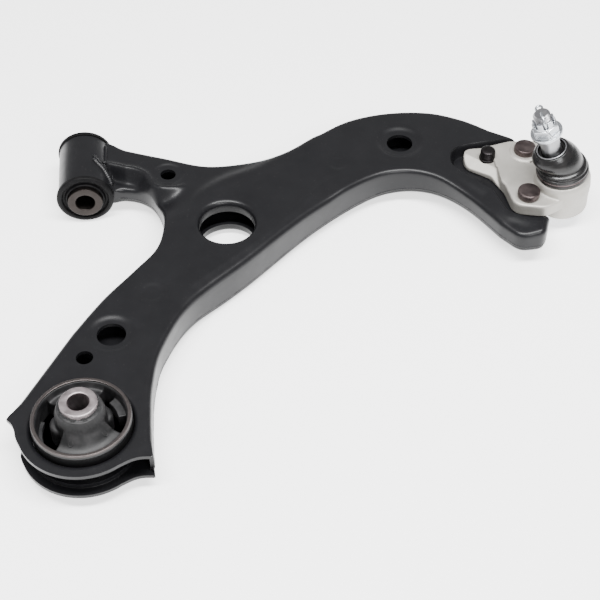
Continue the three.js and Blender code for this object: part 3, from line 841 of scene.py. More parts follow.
EYE_WELDS = [  # steps, bead radius, seed, and the knots (angle, along, out)
    (40, 1.5, 3, [(0.60, 291, 0.3), (0.60, 280, 0.3), (0.62, 268, 0.2)]),
    (60, 3.0, 5, [
        (1.14, 268.5, -0.6), (1.02, 264, -0.5), (0.72, 259, -0.2), (0.42, 253.5, 0.2),
        (0.16, 249, 0.6),
    ]),
    (40, 1.8, 7, [(0.16, 248, 0.4), (-0.1, 245.8, 0.5), (-0.38, 245.4, 0.5), (-0.6, 246.5, 0.3)]),
    (40, 1.7, 9, [(-0.6, 246.5, 0.3), (-0.62, 268, 0.3), (-0.6, 291, 0.3)]),
    (40, 1.7, 11, [(-0.58, 291.5, 0.3), (-0.25, 293.2, 0.3), (0.2, 293.2, 0.3), (0.58, 291.5, 0.3)]),
]
welds = [
    rippled(spline([on_tube(*knot) for knot in knots], steps), bead, seed)
    for steps, bead, seed, knots in EYE_WELDS
]
BLOBS = 20  # where the arc was struck
spatter = np.random.default_rng(21)
for _ in range(BLOBS):
    share = spatter.uniform(0, 1)
    middle = np.array(on_tube(1.16 - 0.5 * share, 269.5 - 8 * share, -0.1))
    middle += spatter.normal(0, 1.5, 3) * (1, 1, 0.3)
    size = spatter.uniform(0.7, 1.6)
    blob = np.array([(0, -size, 0), (0, -size / 2, 0), (0, size / 2, 0), (0, size, 0)])
    welds.append(swept(middle + blob, size * np.array([0.35, 1, 1, 0.35]), 8))
weld_pieces = [body(f"weld_{i}", *weld, UPRIGHT) for i, weld in enumerate(welds)]
eye_weld = melt(weld_pieces, 0.45, 2)
eye_weld.name = "eye_weld_bead"
print("eye weld:", len(eye_weld.data.polygons), "faces")

# %% [markdown]
# A seam weld closes the box all round. It runs in the step between the two shells and
# stands only a little proud of the wall.

# %% Seam weld
SEAM_R = 1.2
walled_loop = ~inside(arm_outline, MOUTH)
walled_loop &= ~((arm_outline[:, 0] < 24) & (arm_outline[:, 1] > 200))
first = int(np.flatnonzero(~walled_loop)[-1]) + 1
order = np.roll(np.arange(len(arm_outline)), -first)
runs, run = [], []
for i in order:
    if walled_loop[i]:
        run.append(i)
    elif run:
        runs.append(run)
        run = []
if run:
    runs.append(run)
seams = []
for k, run in enumerate(r for r in runs if len(r) > 20):
    line = arm_outline[run]
    way = np.gradient(line, axis=0)
    way /= np.linalg.norm(way, axis=1)[:, None]
    line = line + np.column_stack([-way[:, 1], way[:, 0]]) * 0.95
    path = np.column_stack([line, upper_seam(line[:, 0]) - 0.3])
    seams.append(rippled(path, SEAM_R, 30 + k, pitch=2.2))
points, faces = seams[0]
for more_points, more_faces in seams[1:]:
    faces = faces + [tuple(i + len(points) for i in face) for face in more_faces]
    points = np.vstack([points, more_points])
seam_weld = body("seam_weld_bead", points, faces, UPRIGHT)
print("seam weld:", len(seams), "runs,", len(seam_weld.data.polygons), "faces")

# %% [markdown]
# ## The front bush
#
# Two steel sleeves with rubber bonded between them. The rubber's lips wrap over the tube's
# ends and take the side load; between the lip and the sleeve a groove lets the sleeve
# twist. The inner sleeve is turned and faced, and stays bare; its steel is painted darker
# as shade.

# %% Front bush
FRONT_CORE, FRONT_BORE = 14, 7.8
near_lip = [
    (14.3, 239.0, 0.4), (15.6, 239.0, 0.5), (16.4, 241.6, 0.8), (18.2, 241.6, 0.8),
    (19.0, 239.2, 0.6), (20.6, 238.6, 0.8), (23.0, 239.6, 1.2), (23.0, 242.7, 0.5),
    (16.4, 242.7, 0.3),
]
BOTH_ENDS = EYE_NEAR + EYE_FAR  # less a height, this is its mirror image on the far side
far_lip = [
    (r - (0.6 if r > 20 else 0), BOTH_ENDS - h - 0.2, *rest) for r, h, *rest in near_lip
]
front_rubber = body("front_bush_moulding", *turned(rounded(near_lip + far_lip[::-1])), ALONG_Y)
front_sleeve = body("front_bush_sleeve", *turned(rounded([
    (FRONT_BORE, 235.5, 0.9), (FRONT_CORE, 235.5, 0.7), (FRONT_CORE, 302.5, 0.7),
    (FRONT_BORE, 302.5, 0.9),
])), ALONG_Y)
front_can = body("front_bush_can", *turned(rounded([
    (16.7, 243.4, 0.3), (18.2, 243.4, 0.3), (18.2, 294.6, 0.3), (16.7, 294.6, 0.3),
])), ALONG_Y)
print("front rubber:", len(front_rubber.data.polygons), "faces; bore", 2 * FRONT_BORE, "mm")

# %% [markdown]
# ## The rear bush
#
# The rear bush stands upright and is soft fore and aft: two webs of rubber carry the
# sleeve, and two kidney-shaped voids either side let it move until it meets the stop
# blocks. The rubber is moulded, so every edge is round. It is cut from simple bodies and
# then melted into one even skin, which gives those edges their radii all at once.

# %% Rear ring and sleeve
RING_OUT, RING_IN = 35, 33
rear_ring = body("rear_bush_ring", *turned(rounded([
    (RING_IN, -16, 0.4), (RING_OUT, -16, 0.6), (RING_OUT, 17.6, 0.8), (RING_IN + 1.1, 20, 0.5),
    (RING_IN - 1.3, 20, 0.5), (RING_IN - 1.1, 18.5, 0.3), (RING_IN, 17, 0.4),
]), 128), UPRIGHT)
rear_sleeve = body("rear_bush_sleeve", *turned(rounded([
    (7.4, -23, 0.9), (13, -23, 0.8), (13, 36, 0.9), (7.4, 36, 1.1),
])), UPRIGHT)
print("rear ring:", 2 * RING_OUT, "mm across")

# %% [markdown]
# The webs start as one turned body. The two voids are cut out of it, and the stop blocks
# and the two bumps that the sleeve's rubber lands on are added.

# %% Rear rubber


def kidney(towards, inner, outer, half, bottom, top):
    middle = math.radians(towards)
    line = np.vstack([
        arc(0, 0, outer, middle - half, middle + half, 24),
        arc(0, 0, inner, middle + half, middle - half, 20),
    ])
    return body("kidney", *prism(line, bottom, top))


web_profile = rounded([
    (13.05, -17.2, 0.5), (15.5, -17, 1), (20, -13.5, 6), (31.6, -10.5, 2), (32.95, -12.5, 0.3),
    (32.95, 18.9, 0.3), (31.5, 18.6, 0.8), (29.6, 13.6, 2), (24.5, 14.6, 8), (18.2, 22.4, 7),
    (15.6, 31.2, 1), (14.4, 31.6, 0.4), (14.1, 30.2, 0.4), (13.5, 30.2, 0.3), (13.5, 33.0, 0.3),
    (13.05, 33.2, 0.1),
])
web = body("rear_web", *turned(web_profile))
OUTBOARD_VOID, INBOARD_VOID = 18, 186  # directions of the voids, degrees from outboard
combine(web, [
    kidney(OUTBOARD_VOID, 17.6, 30.9, 0.74, -60, 60),
    kidney(INBOARD_VOID, 17.6, 30.9, 0.80, -60, 60),
])
blocks = [
    kidney(OUTBOARD_VOID + 8, 25.0, 31.8, 0.30, -9, 11),
    kidney(INBOARD_VOID, 28.0, 31.8, 0.45, -9, 5),
]
bumps = [
    body("bump", *turned(rounded([(0, -10), (5.4, -10, 2), (5.4, top, 3.5), (0, top)], False), 40),
         Matrix.Rotation(math.radians(towards), 4, "Z") @ shifted(16.6, 0)
         @ Matrix.Scale(1.45, 4, (0, 1, 0)))
    for towards, top in ((OUTBOARD_VOID + 3, 15), (INBOARD_VOID, 17))
]
rear_rubber = melt([web, *blocks, *bumps], 0.5, 5)
rear_rubber.data.transform(UPRIGHT)
rear_rubber.name = "rear_bush_moulding"
print("rear rubber:", len(rear_rubber.data.polygons), "faces")

# %% [markdown]
# The sleeve tilts in this rubber, above and below. So the moulding is made as an upper and
# a lower half, cut level with the middle of the bush.

# %% Split the rear moulding
SPLIT_Z = home.z + 1 * MM


def half(piece, name, above):
    mesh = piece.data.copy()
    work = bmesh.new()
    work.from_mesh(mesh)
    bmesh.ops.bisect_plane(
        work, geom=work.verts[:] + work.edges[:] + work.faces[:], dist=1e-7,
        plane_co=(0, 0, SPLIT_Z), plane_no=(0, 0, 1), clear_inner=above, clear_outer=not above,
    )
    open_edges = [e for e in work.edges if e.is_boundary]
    bmesh.ops.holes_fill(work, edges=open_edges)
    bmesh.ops.recalc_face_normals(work, faces=work.faces)
    work.to_mesh(mesh)
    work.free()
    result = bpy.data.objects.new(name, mesh)
    scene.collection.objects.link(result)
    return result


rear_rubber_top = half(rear_rubber, "rear_bush_moulding_top", True)
rear_rubber_foot = half(rear_rubber, "rear_bush_moulding_foot", False)
print("halves:", len(rear_rubber_top.data.polygons), "and", len(rear_rubber_foot.data.polygons), "faces")

# %% [markdown]
# The tool leaves two small round marks on the upper webs. Each is a thin wire laid on the
# rubber, whose height there is found by looking straight down at it.

# %% Moulding marks
MARK_R, MARK_WIRE = 1.5, 0.34
marks = []
for x, y in ((-6.9, -21.0), (16.0, -15.0)):
    _, spot, _, _ = rear_rubber.ray_cast(UPRIGHT @ (Vector((x, y, 60)) * MM), (0, 0, -1))
    height = (spot.z - home.z) / MM - 0.05
    circle = arc(x, y, MARK_R, 0, 2 * math.pi, 24)[:-1]
    tilt = height - 0.9 * (np.hypot(*circle.T) - math.hypot(x, y))
    mark = swept(np.column_stack([circle, tilt]), MARK_WIRE, 8, closed=True)
    marks.append(body("mark", *mark, UPRIGHT))
joined = [rear_rubber_top, *marks]
with bpy.context.temp_override(active_object=rear_rubber_top, selected_editable_objects=joined):
    bpy.ops.object.join()
bpy.data.objects.remove(rear_rubber)
print("moulding marks:", len(marks))

# %% [markdown]
# ## The bracket
#
# A steel forging, shot-blasted and coated with zinc flake. It has a lug for one bolt, a
# plate with two pressed-in studs, and the round housing that the ball runs in. Forged
# corners are soft because hot metal won't fill sharp ones, so the solid bodies are joined
# and melted like the rubber, with a coarser hand.

# %% Cut the bracket's plate
BRACKET = rounded([
    (313, 240, 9), (331, 226, 8), (338.5, 208, 12), (341, 184, 12), (366, 177.5, 16), (394, 192, 14),
    (409, 210, 20), (398, 232, 16), (380, 259, 8), (352, 261, 12), (337, 257.5, 6), (312, 257.5, 10),
])
PLATE_BOTTOM, PLATE_TOP, LUG_TOP = 2.3, 13, 10.5
plate = body("plate", *prism(evenly(BRACKET, 1.5), PLATE_BOTTOM, PLATE_TOP, 1.6))
step = body("step", *prism([(300, 205), (336.5, 215), (333.5, 275), (300, 275)], LUG_TOP, 40))
crease = np.array([(312, 253.5), (336.5, 230.7), (336.5, 190), (295, 190), (295, 253.5)])
slope_way = np.array([-0.68, -0.73])
slope = LUG_TOP - 0.55 * np.maximum(0, (crease - crease[0]) @ slope_way)
wedge = np.vstack([np.column_stack([crease, slope]), np.column_stack([crease, np.full(5, 40)])])
wedge_faces = [(4, 3, 2, 1, 0), (5, 6, 7, 8, 9)]
wedge_faces += [(i, (i + 1) % 5, (i + 1) % 5 + 5, i + 5) for i in range(5)]
chamfer = body("chamfer", wedge, wedge_faces)
combine(plate, [step, chamfer])
print("plate:", round(PLATE_TOP - PLATE_BOTTOM, 1), "mm thick; lug at", LUG_TOP, "mm")

# %% [markdown]
# The housing leans with the ball joint. It is melted together with the plate and the far
# stud's seat, and only then bored and drilled, so the cut edges stay crisp.

# %% Forge the housing and drill
seat = body("seat", *turned(rounded([(0, 6), (12.4, 6), (12.0, 14.2, 1), (0, 14.2)], False)),
            shifted(*BOLTS[1]))
lean_cup = Matrix.Translation(BALL * MM) @ Matrix.Rotation(HOUSING_LEAN, 4, "Y")
cup = body("cup", *turned(rounded([
    (0, -21), (19.6, -21, 1.5), (20.6, -10, 5), (22.5, 2, 4), (22.5, 9.5, 1.5), (21.2, 13, 0.8),
    (0, 13),
], False)), lean_cup)
bore = body("bore", *turned(rounded([
    (0, -24), (18.3, -24), (18.3, -16.5), (17.3, -16.5), (17.3, 9), (14.6, 9), (15.6, 15), (0, 15),
], False)), lean_cup)
shanks = [
    body("shank", *turned([(0, -40), (6.3, -40), (6.3, 40), (0, 40)], 48), shifted(x, y))
    for x, y in BOLTS
]
bracket = melt([plate, seat, cup], 0.7, 3)
slot = body("slot", *prism([(364, 231.6), (371.5, 232.2), (371.5, 234), (364, 233.4)], 11, 40))
combine(bracket, [bore, slot, *shanks])
bracket.data.transform(UPRIGHT)
bracket.name = "ball_joint_forging"
print("bracket:", len(bracket.data.polygons), "faces")

# %% [markdown]
# ## Studs, nuts and the bolt
#
# The bracket's own studs are pressed in from above and show only their round heads; their
# threads and the nuts are underneath. Cold-headed steel has a small radius round the head.
# Threads are cut as a true helix: the turned shank's radius is lowered by a triangle wave
# that climbs one pitch with each turn.

# %% Threads and press studs
M12_PITCH = 1.25


def threads(points, low, high, pitch, depth):
    """Cuts a helical thread in the part of a turned piece between two heights."""
    r = np.hypot(points[:, 0], points[:, 1])
    a = np.arctan2(points[:, 1], points[:, 0]) / (2 * math.pi)
    wave = 2 * np.abs((points[:, 2] / pitch - a) % 1 - 0.5)
    window = ease(low, low + pitch, points[:, 2]) * (1 - ease(high - pitch, high, points[:, 2]))
    scale = 1 - depth * wave * window * (r > 1) / np.maximum(r, 1)
    points[:, :2] *= scale[:, None]
    return points


def rod(r, low, high, pitch):
    """A straight stretch of profile with enough rings to carry a thread."""
    return [(r, h) for h in np.arange(low, high, pitch / 5)]


def press_stud(name, x, y):
    profile = [(0, -23), (4.8, -23), *rod(6, -21.8, -8, M12_PITCH), (6, -8), (6, 13.3)]
    head = rounded([
        (6, 13.3), (8.2, 13.3, 0.2), (8.9, 14.4, 0.5), (8.9, 18.7, 0.5), (8.2, 19.5, 0.5),
        (0, 19.5),
    ], False)
    points, faces = turned(profile + [tuple(p) for p in head[1:]], 64)
    points = threads(points, -22, -6, M12_PITCH, 0.75)
    return body(name, points, faces, UPRIGHT @ shifted(x, y))


near_stud = press_stud("press_stud_at_near_lobe", *BOLTS[0])
far_stud = press_stud("press_stud_at_far_lobe", *BOLTS[1])
print("press stud:", len(near_stud.data.polygons), "faces each")

# %% [markdown]
# A nut or a bolt's head is a hexagon whose corners are turned off by a cone, with a round
# flange on the side that clamps. The two are melted together lightly, which eases the
# corner between them as cold heading does.

# %% Nuts
CLAMP = -4.9  # face that the nuts and the bolt's flange bear on


def hex_body(flats, bottom, top, turn=0.0):
    """A hexagon with its corners turned off at both ends."""
    piece = body("hex", *prism(hexagon(flats, turn), bottom, top))
    corner = flats / 2 / math.cos(math.pi / 6)
    wide = corner + 0.6
    drop = (wide - flats / 2) * math.tan(math.radians(30))
    cone = body("cone", *turned([
        (0, bottom), (flats / 2 - 0.4, bottom), (wide, bottom + drop), (wide, top - drop),
        (flats / 2 - 0.4, top), (0, top),
    ], 72))
    return combine(piece, [cone], "INTERSECT")


def washer_face(r, bottom, top):
    profile = rounded([(0, bottom), (r, bottom, 0.5), (r, top, 0.5), (0, top)], False)
    return body("washer", *turned(profile, 72))


def flanged_hexagon(height):
    """An M12 hexagon of that height over its flange, both under the clamping face."""
    flange = washer_face(12, CLAMP - 2.3, CLAMP)
    return melt([hex_body(17, CLAMP - height, CLAMP - 1), flange], 0.35, 2)


def flange_nut(name, x, y):
    hole = body("hole", *turned([(0, -40), (6.15, -40), (6.15, 40), (0, 40)], 48))
    nut = flanged_hexagon(11)
    combine(nut, [hole])
    nut.data.transform(UPRIGHT @ shifted(x, y))
    nut.name = name
    return nut


near_nut = flange_nut("flange_nut_under_near_lobe", *BOLTS[0])
far_nut = flange_nut("flange_nut_under_far_lobe", *BOLTS[1])
print("flange nut:", len(near_nut.data.polygons), "faces")

# %% [markdown]
# The lug's bolt comes from below. Its pointed end stands out above the lug.

# %% Bolt
points, faces = turned(
    [(0, CLAMP - 3), (6, CLAMP - 3), (6, 10.6), (6.7, 10.6), (6.7, 12.2), (6.2, 12.7)]
    + rod(6.2, 12.8, 18.8, M12_PITCH) + [(5.7, 19.6), (4.6, 20.3), (2.4, 20.5), (0, 20.5)], 64)
points = threads(points, 12.9, 19.2, M12_PITCH, 0.5)
lug_bolt_shank = body("shank", points, faces)
lug_bolt_head = flanged_hexagon(8)
for piece, name in ((lug_bolt_shank, "lug_bolt_end"), (lug_bolt_head, "lug_bolt_head")):
    piece.data.transform(UPRIGHT @ shifted(*BOLTS[2]))
    piece.name = name
print("bolt:", len(lug_bolt_head.data.polygons), "faces in its head")

# %% [markdown]
# ## The ball stud, its castle nut and the split pin
#
# The stud is one piece from ball to thread: a polished ball, a waisted neck that leaves
# the boot room to lean, a ground taper for the knuckle and a rolled thread.

# %% Ball stud
BALL_R = 13
STUD_PITCH = 1.5
TAPER_FOOT, TAPER_TOP, STUD_END = 33.5, 58, 81
neck = math.sqrt(BALL_R**2 - 6.3**2)
ball_arc = [(BALL_R * math.cos(t), BALL_R * math.sin(t))
            for t in np.linspace(-math.pi / 2, math.asin(neck / BALL_R), 28)]
ball_arc[0] = (0, -BALL_R)
upper_stud = rounded([
    ball_arc[-1], (6.3, 25, 3), (8.15, TAPER_FOOT, 1.2), (7.6, TAPER_TOP, 0.3), (6.9, 59, 0.3),
    (6.9, 60),
], False)
points, faces = turned(
    ball_arc + [tuple(p) for p in upper_stud[1:]] + rod(6.9, 60.3, STUD_END - 1.5, STUD_PITCH)
    + [(6.4, STUD_END - 0.8), (5.4, STUD_END), (0, STUD_END)], 80)
points = threads(points, 60, STUD_END, STUD_PITCH, 0.85)
ball_stud = body("taper_ball_stud", points, faces, at_ball(STUD_LEAN))
print("stud:", BALL_R + STUD_END, "mm long,", len(ball_stud.data.polygons), "faces")

# %% [markdown]
# The castle nut is bright zinc: a flange, a hexagon, and a crown with six slots, which
# three long cutters make two at a time.

# %% Castle nut
NUT_SEAT = 59
CROWN_TOP = 16.6
HEX_TOP = 10.2
flange = washer_face(12.7, 0, 2.9)
hexa = hex_body(19, 1, HEX_TOP, math.pi / 6)
crown = body("crown", *turned(rounded([
    (0, 1), (8.6, 1), (8.6, CROWN_TOP, 0.9), (0, CROWN_TOP),
], False), 72))
slots = [
    body("slot", *prism(rounded([(-20, -1.9), (20, -1.9), (20, 1.9), (-20, 1.9)]), HEX_TOP + 1.2, 30),
         Matrix.Rotation(math.radians(90 + 60 * k), 4, "Z"))
    for k in range(3)
]
combine(crown, slots)
castle_nut = melt([flange, hexa, crown], 0.3, 2)
nut_bore = body("bore", *turned([(0, -5), (7.0, -5), (7.0, 40), (0, 40)], 64))
combine(castle_nut, [nut_bore])
castle_nut.data.transform(at_ball(STUD_LEAN) @ shifted(0, 0, NUT_SEAT))
castle_nut.name = "castellated_nut"
print("castle nut:", len(castle_nut.data.polygons), "faces")

# %% [markdown]
# The split pin goes through one pair of slots, with its eye on the far side. One leg is
# bent up over the stud's end and the other down along the nut.

# %% Split pin
PIN = NUT_SEAT + 13.2
WIRE = 1.0
pin_legs = [
    swept(spline(knots, 60), WIRE, 12)
    for knots in (
        [(0.0, 12.4, PIN + 0.55), (0, 4, PIN + 0.75), (0, -6, PIN + 0.75), (0, -9.2, PIN + 1.2),
         (0, -10.5, PIN + 4), (0, -9.5, PIN + 7.6), (0, -6, PIN + 10.1), (0, -1.5, PIN + 10.3)],
        [(0.0, 12.4, PIN - 0.55), (0, 4, PIN - 0.75), (0, -7.2, PIN - 0.75), (0, -10.6, PIN - 1.0),
         (0.7, -12.3, PIN - 3.6), (2.4, -12.7, PIN - 8.6)],
    )
]
eye = np.array([
    (2.5 * math.sin(t), 14.9 - 2.8 * math.cos(t), PIN + 0.6)
    for t in np.linspace(0, 2 * math.pi, 40, endpoint=False)
])
pin_parts = [body("leg", *leg) for leg in pin_legs]
pin_parts.append(body("eye", *swept(eye, WIRE, 12, closed=True)))
split_pin = melt(pin_parts, 0.22, 1)
split_pin.data.transform(at_ball(STUD_LEAN))
split_pin.name = "bent_split_pin"
print("split pin:", len(split_pin.data.polygons), "faces")

# %% [markdown]
# ## The dust boot
#
# A moulded rubber gaiter keeps grease in and water out. Its foot is clamped on the
# housing and its lip seals on the stud, so it has to lean from one axis to the other and
# keep doing so as the stud swings. It is turned as one profile whose axis bends smoothly,
# and split level below its waist into a lower and an upper part. The wall is about 1.3 mm
# thick, so the stud has room to lean inside it.

# %% The boot's lean
FOOT = 13.2
BOOT_TOP = 42
SPLIT = FOOT + 10  # where the lower part meets the upper
WAIST = FOOT + 12.6


def lean_at(height):
    """The boot's lean at a height: the housing's at the foot, the stud's near the lip."""
    share = np.clip((height - FOOT - 6) / (BOOT_TOP - 4 - FOOT - 6), 0, 1)
    return HOUSING_LEAN + (STUD_LEAN - HOUSING_LEAN) * share * share * (3 - 2 * share)


def lean_along(points):
    """Bends an upright turned piece from the housing's axis to the stud's axis."""
    lean = lean_at(points[:, 2])
    x = points[:, 0] * np.cos(lean) + points[:, 2] * np.sin(lean)
    z = points[:, 2] * np.cos(lean) - points[:, 0] * np.sin(lean)
    return np.column_stack([x, points[:, 1], z])


print("lean at the split:", round(math.degrees(lean_at(SPLIT)), 1), "degrees")

# %% [markdown]
# Each part's profile runs up its outside and back down its inside. The two share their
# edge at the split.

# %% Boot
BOOT_SIDES = 112
boot_low = rounded([
    (16.4, FOOT, 0.3), (20.1, FOOT, 0.8), (20.9, FOOT + 1.9, 0.9), (20.6, FOOT + 3.2, 0.4),
    (19.7, FOOT + 3.9, 0.4), (20.7, FOOT + 4.8, 0.4), (20.9, FOOT + 6.4, 0.9), (19.3, FOOT + 7.6, 0.6),
    (20.0, FOOT + 9.0, 0.8), (19.6, SPLIT), (18.2, SPLIT), (18.2, FOOT + 5.4, 1.5),
    (16.4, FOOT + 3.4, 1.0),
])
boot_high = np.vstack([
    rounded([
        (18.2, SPLIT), (19.6, SPLIT), (19.4, SPLIT + 0.6, 0.5), (17.4, SPLIT + 1.8, 0.9),
        (17.5, WAIST),
    ], False),
    spline([(17.75, WAIST + 1.3), (18.3, WAIST + 5), (17.7, WAIST + 9), (15.9, WAIST + 12.6)], 30),
    rounded([
        (14.9, WAIST + 14), (13.4, BOOT_TOP - 0.3, 0.9), (11.3, BOOT_TOP, 0.4),
        (10.7, BOOT_TOP - 2.2, 0.5), (8.6, BOOT_TOP - 2.6, 0.4), (8.1, BOOT_TOP - 3.4, 0.2),
        (8.4, BOOT_TOP - 6), (11.6, BOOT_TOP - 6.6, 2), (16.9, WAIST + 6, 4),
        (16.7, SPLIT + 2.2, 1), (17, SPLIT + 0.9, 0.5), (18.2, SPLIT),
    ], False)[:-1],
])
boot_pieces = []
for name, profile in (("boot_bellows", boot_low), ("boot_dome", boot_high)):
    points, faces = turned(evenly(profile, 0.35), BOOT_SIDES)
    boot_pieces.append(body(name, lean_along(points), faces, at_ball(0)))
boot_bellows, boot_dome = boot_pieces
print("boot:", [len(piece.data.polygons) for piece in boot_pieces], "faces")

# %% [markdown]
# Two wire rings close it: one in the groove at its foot, one in its lip.

# %% Boot rings


def boot_wire(name, r, wire, height, lean):
    profile = [(r + wire * math.cos(t), height + wire * math.sin(t))
               for t in np.linspace(0, 2 * math.pi, 12, endpoint=False)]
    return body(name, *turned(profile, BOOT_SIDES), at_ball(lean))


foot_wire = boot_wire("boot_foot_wire", 20.5, 0.55, FOOT + 3.95, HOUSING_LEAN)
lip_wire = boot_wire("boot_lip_wire", 11.5, 0.5, BOOT_TOP - 0.15, STUD_LEAN)
print("boot rings:", len(foot_wire.data.polygons), "and", len(lip_wire.data.polygons), "faces")

# %% [markdown]
# ## Adding shader nodes
#
# A finish is a small tree of nodes. One helper adds a node, sets its options and fills its
# inputs: a number or colour is set on the input, and another node's output is linked to
# it. Colours are given as the hex values of a colour chart and turned to linear light,
# and every pattern's scale comes from a real size in millimetres.

# %% Node helpers


def add(tree, kind, inputs=None, **options):
    node = tree.nodes.new(kind)
    for name, value in options.items():
        setattr(node, name, value)
    for name, value in (inputs or {}).items():
        if isinstance(value, bpy.types.NodeSocket):
            tree.links.new(value, node.inputs[name])
        else:
            node.inputs[name].default_value = value
    return node


def linear(hex_colour):
    """A hex colour of the sRGB chart as linear red, green, blue and alpha."""
    parts = [int(hex_colour[i:i + 2], 16) / 255 for i in (1, 3, 5)]
    return (*(c / 12.92 if c <= 0.04045 else ((c + 0.055) / 1.055) ** 2.4 for c in parts), 1)


def per(size_mm):
    """Pattern scale for features of that size."""
    return 1 / (size_mm * MM)


def new_finish(name, **shader_values):
    """An empty material with its shader; returns the tree, the shader and the position."""
    material = bpy.data.materials.new(name)
    material.use_nodes = True
    tree = material.node_tree
    shader = tree.nodes["Principled BSDF"]
    for socket, value in shader_values.items():
        shader.inputs[socket.replace("_", " ")].default_value = value
    where = add(tree, "ShaderNodeTexCoord").outputs["Object"]
    return material, tree, shader, where


def weather(tree, shader, cloud, colours, roughness, reliefs=(), colour_from=None, rough_from=(0, 1)):
    """One cloudy pattern drives colour and roughness; reliefs (pattern, mm) lie on each other."""
    share = cloud
    if colour_from:
        low, high = colour_from
        share = add(tree, "ShaderNodeMapRange", {
            "Value": cloud, "From Min": low, "From Max": high,
        }).outputs["Result"]
    dark, light = colours
    colour = add(tree, "ShaderNodeMix", {
        "Factor": share, "A": linear(dark), "B": linear(light),
    }, data_type="RGBA")
    tree.links.new(colour.outputs["Result"], shader.inputs["Base Color"])
    rough = add(tree, "ShaderNodeMapRange", {
        "Value": cloud, "From Min": rough_from[0], "From Max": rough_from[1],
        "To Min": roughness[0], "To Max": roughness[1],
    })
    tree.links.new(rough.outputs["Result"], shader.inputs["Roughness"])
    under = {}
    for pattern, depth in reliefs:
        bump = add(tree, "ShaderNodeBump", {
            "Height": pattern, "Strength": 1.0, "Distance": depth * MM, **under,
        })
        under = {"Normal": bump.outputs["Normal"]}
        tree.links.new(bump.outputs["Normal"], shader.inputs["Normal"])


print("a 2 mm pattern has the scale", per(2))


# %% [markdown]
# ## Black electrocoat
#
# The arm is dipped in cathodic electrocoat and baked. The coat is thin and even, so it
# shows the sheet's own faint orange peel and drawing marks; it is black, half glossy, and
# picks up pale dust and hairline scratches in handling. Its gloss is an epoxy's, so the
# index of refraction would be near 1.5; dulled by baking and dust it reads as 1.31.

# %% Electrocoat finish
electrocoat, tree, shader, where = new_finish("black_electrocoat", IOR=1.31, Metallic=0.0)
tint = add(tree, "ShaderNodeTexNoise", {"Vector": where, "Scale": per(22), "Detail": 4})
coat = add(tree, "ShaderNodeMix", {
    "Factor": tint.outputs["Fac"], "A": linear("#0d0d0f"), "B": linear("#151517"),
}, data_type="RGBA")
dust = add(tree, "ShaderNodeTexNoise", {"Vector": where, "Scale": per(0.9), "Detail": 2})
specks = add(tree, "ShaderNodeMapRange", {
    "Value": dust.outputs["Fac"], "From Min": 0.70, "From Max": 0.78, "To Max": 0.5,
})
dusty = add(tree, "ShaderNodeMix", {
    "Factor": specks.outputs["Result"], "A": coat.outputs["Result"], "B": linear("#4c4b49"),
}, data_type="RGBA")
tree.links.new(dusty.outputs["Result"], shader.inputs["Base Color"])
gloss = add(tree, "ShaderNodeTexNoise", {"Vector": where, "Scale": per(9), "Detail": 3})
rough = add(tree, "ShaderNodeMapRange", {
    "Value": gloss.outputs["Fac"], "To Min": 0.27, "To Max": 0.41,
})
tree.links.new(rough.outputs["Result"], shader.inputs["Roughness"])
peel = add(tree, "ShaderNodeTexNoise", {"Vector": where, "Scale": per(1.6), "Detail": 2})
waves = add(tree, "ShaderNodeTexNoise", {"Vector": where, "Scale": per(18), "Detail": 1})
peel_bump = add(tree, "ShaderNodeBump", {
    "Height": peel.outputs["Fac"], "Strength": 1.0, "Distance": 0.022 * MM,
})
wave_bump = add(tree, "ShaderNodeBump", {
    "Height": waves.outputs["Fac"], "Strength": 1.0, "Distance": 0.25 * MM,
    "Normal": peel_bump.outputs["Normal"],
})
tree.links.new(wave_bump.outputs["Normal"], shader.inputs["Normal"])
print("electrocoat:", len(tree.nodes), "nodes")

# %% [markdown]
# ## Moulded rubber
#
# Natural rubber filled with carbon black, moulded in a blasted steel tool: a dull, even
# black with a fine leathery grain, and a pale bloom of mould release in the hollows. The
# front bush's lips get a blacker copy of it, painted shade for the weaker light on them,
# with hardly any shine.

# %% Rubber finishes


def rubber_finish(name, low_rough, high_rough, dark, bloom, grain_mm, relief_mm, hollows_mm):
    material, tree, shader, where = new_finish(name, IOR=1.42, Metallic=0.0)
    cloud = add(tree, "ShaderNodeTexNoise", {"Vector": where, "Scale": per(6), "Detail": 5})
    grain = add(tree, "ShaderNodeTexVoronoi", {"Vector": where, "Scale": per(grain_mm)})
    weather(
        tree, shader, cloud.outputs["Fac"], (dark, bloom), (low_rough, high_rough),
        [(grain.outputs["Distance"], relief_mm), (cloud.outputs["Fac"], hollows_mm)],
        colour_from=(0.42, 0.75),
    )
    return material


moulded_rubber = rubber_finish("moulded_rubber", 0.4, 0.66, "#121213", "#262526", 0.55, 0.03, 0.1)
# The lips' blacker colours are painted shade for the weaker light at the front bush.
shaded_lip_rubber = rubber_finish("shaded_lip_rubber", 0.5, 0.7, "#080809", "#121112", 0.55, 0.02, 0.1)
shaded_lip_shader = shaded_lip_rubber.node_tree.nodes["Principled BSDF"]
shaded_lip_shader.inputs["Specular IOR Level"].default_value = 0.15
boot_rubber = rubber_finish("boot_rubber", 0.22, 0.34, "#0a0a0b", "#161414", 0.8, 0.004, 0.02)
print("rubbers:", [m.name for m in (moulded_rubber, shaded_lip_rubber, boot_rubber)])

# %% [markdown]
# ## Turned and ground steel
#
# Low-carbon steel cut on a lathe keeps fine rings round its axis, and a film of oil warms
# it. The rings are drawn as a wave round the piece's own axis, about 0.5 mm apart; real
# ones are finer, and are drawn coarser here so that they show.

# %% Steel finishes
WAVE_REPEAT = math.pi / 10  # a wave texture of scale 1 repeats after this length


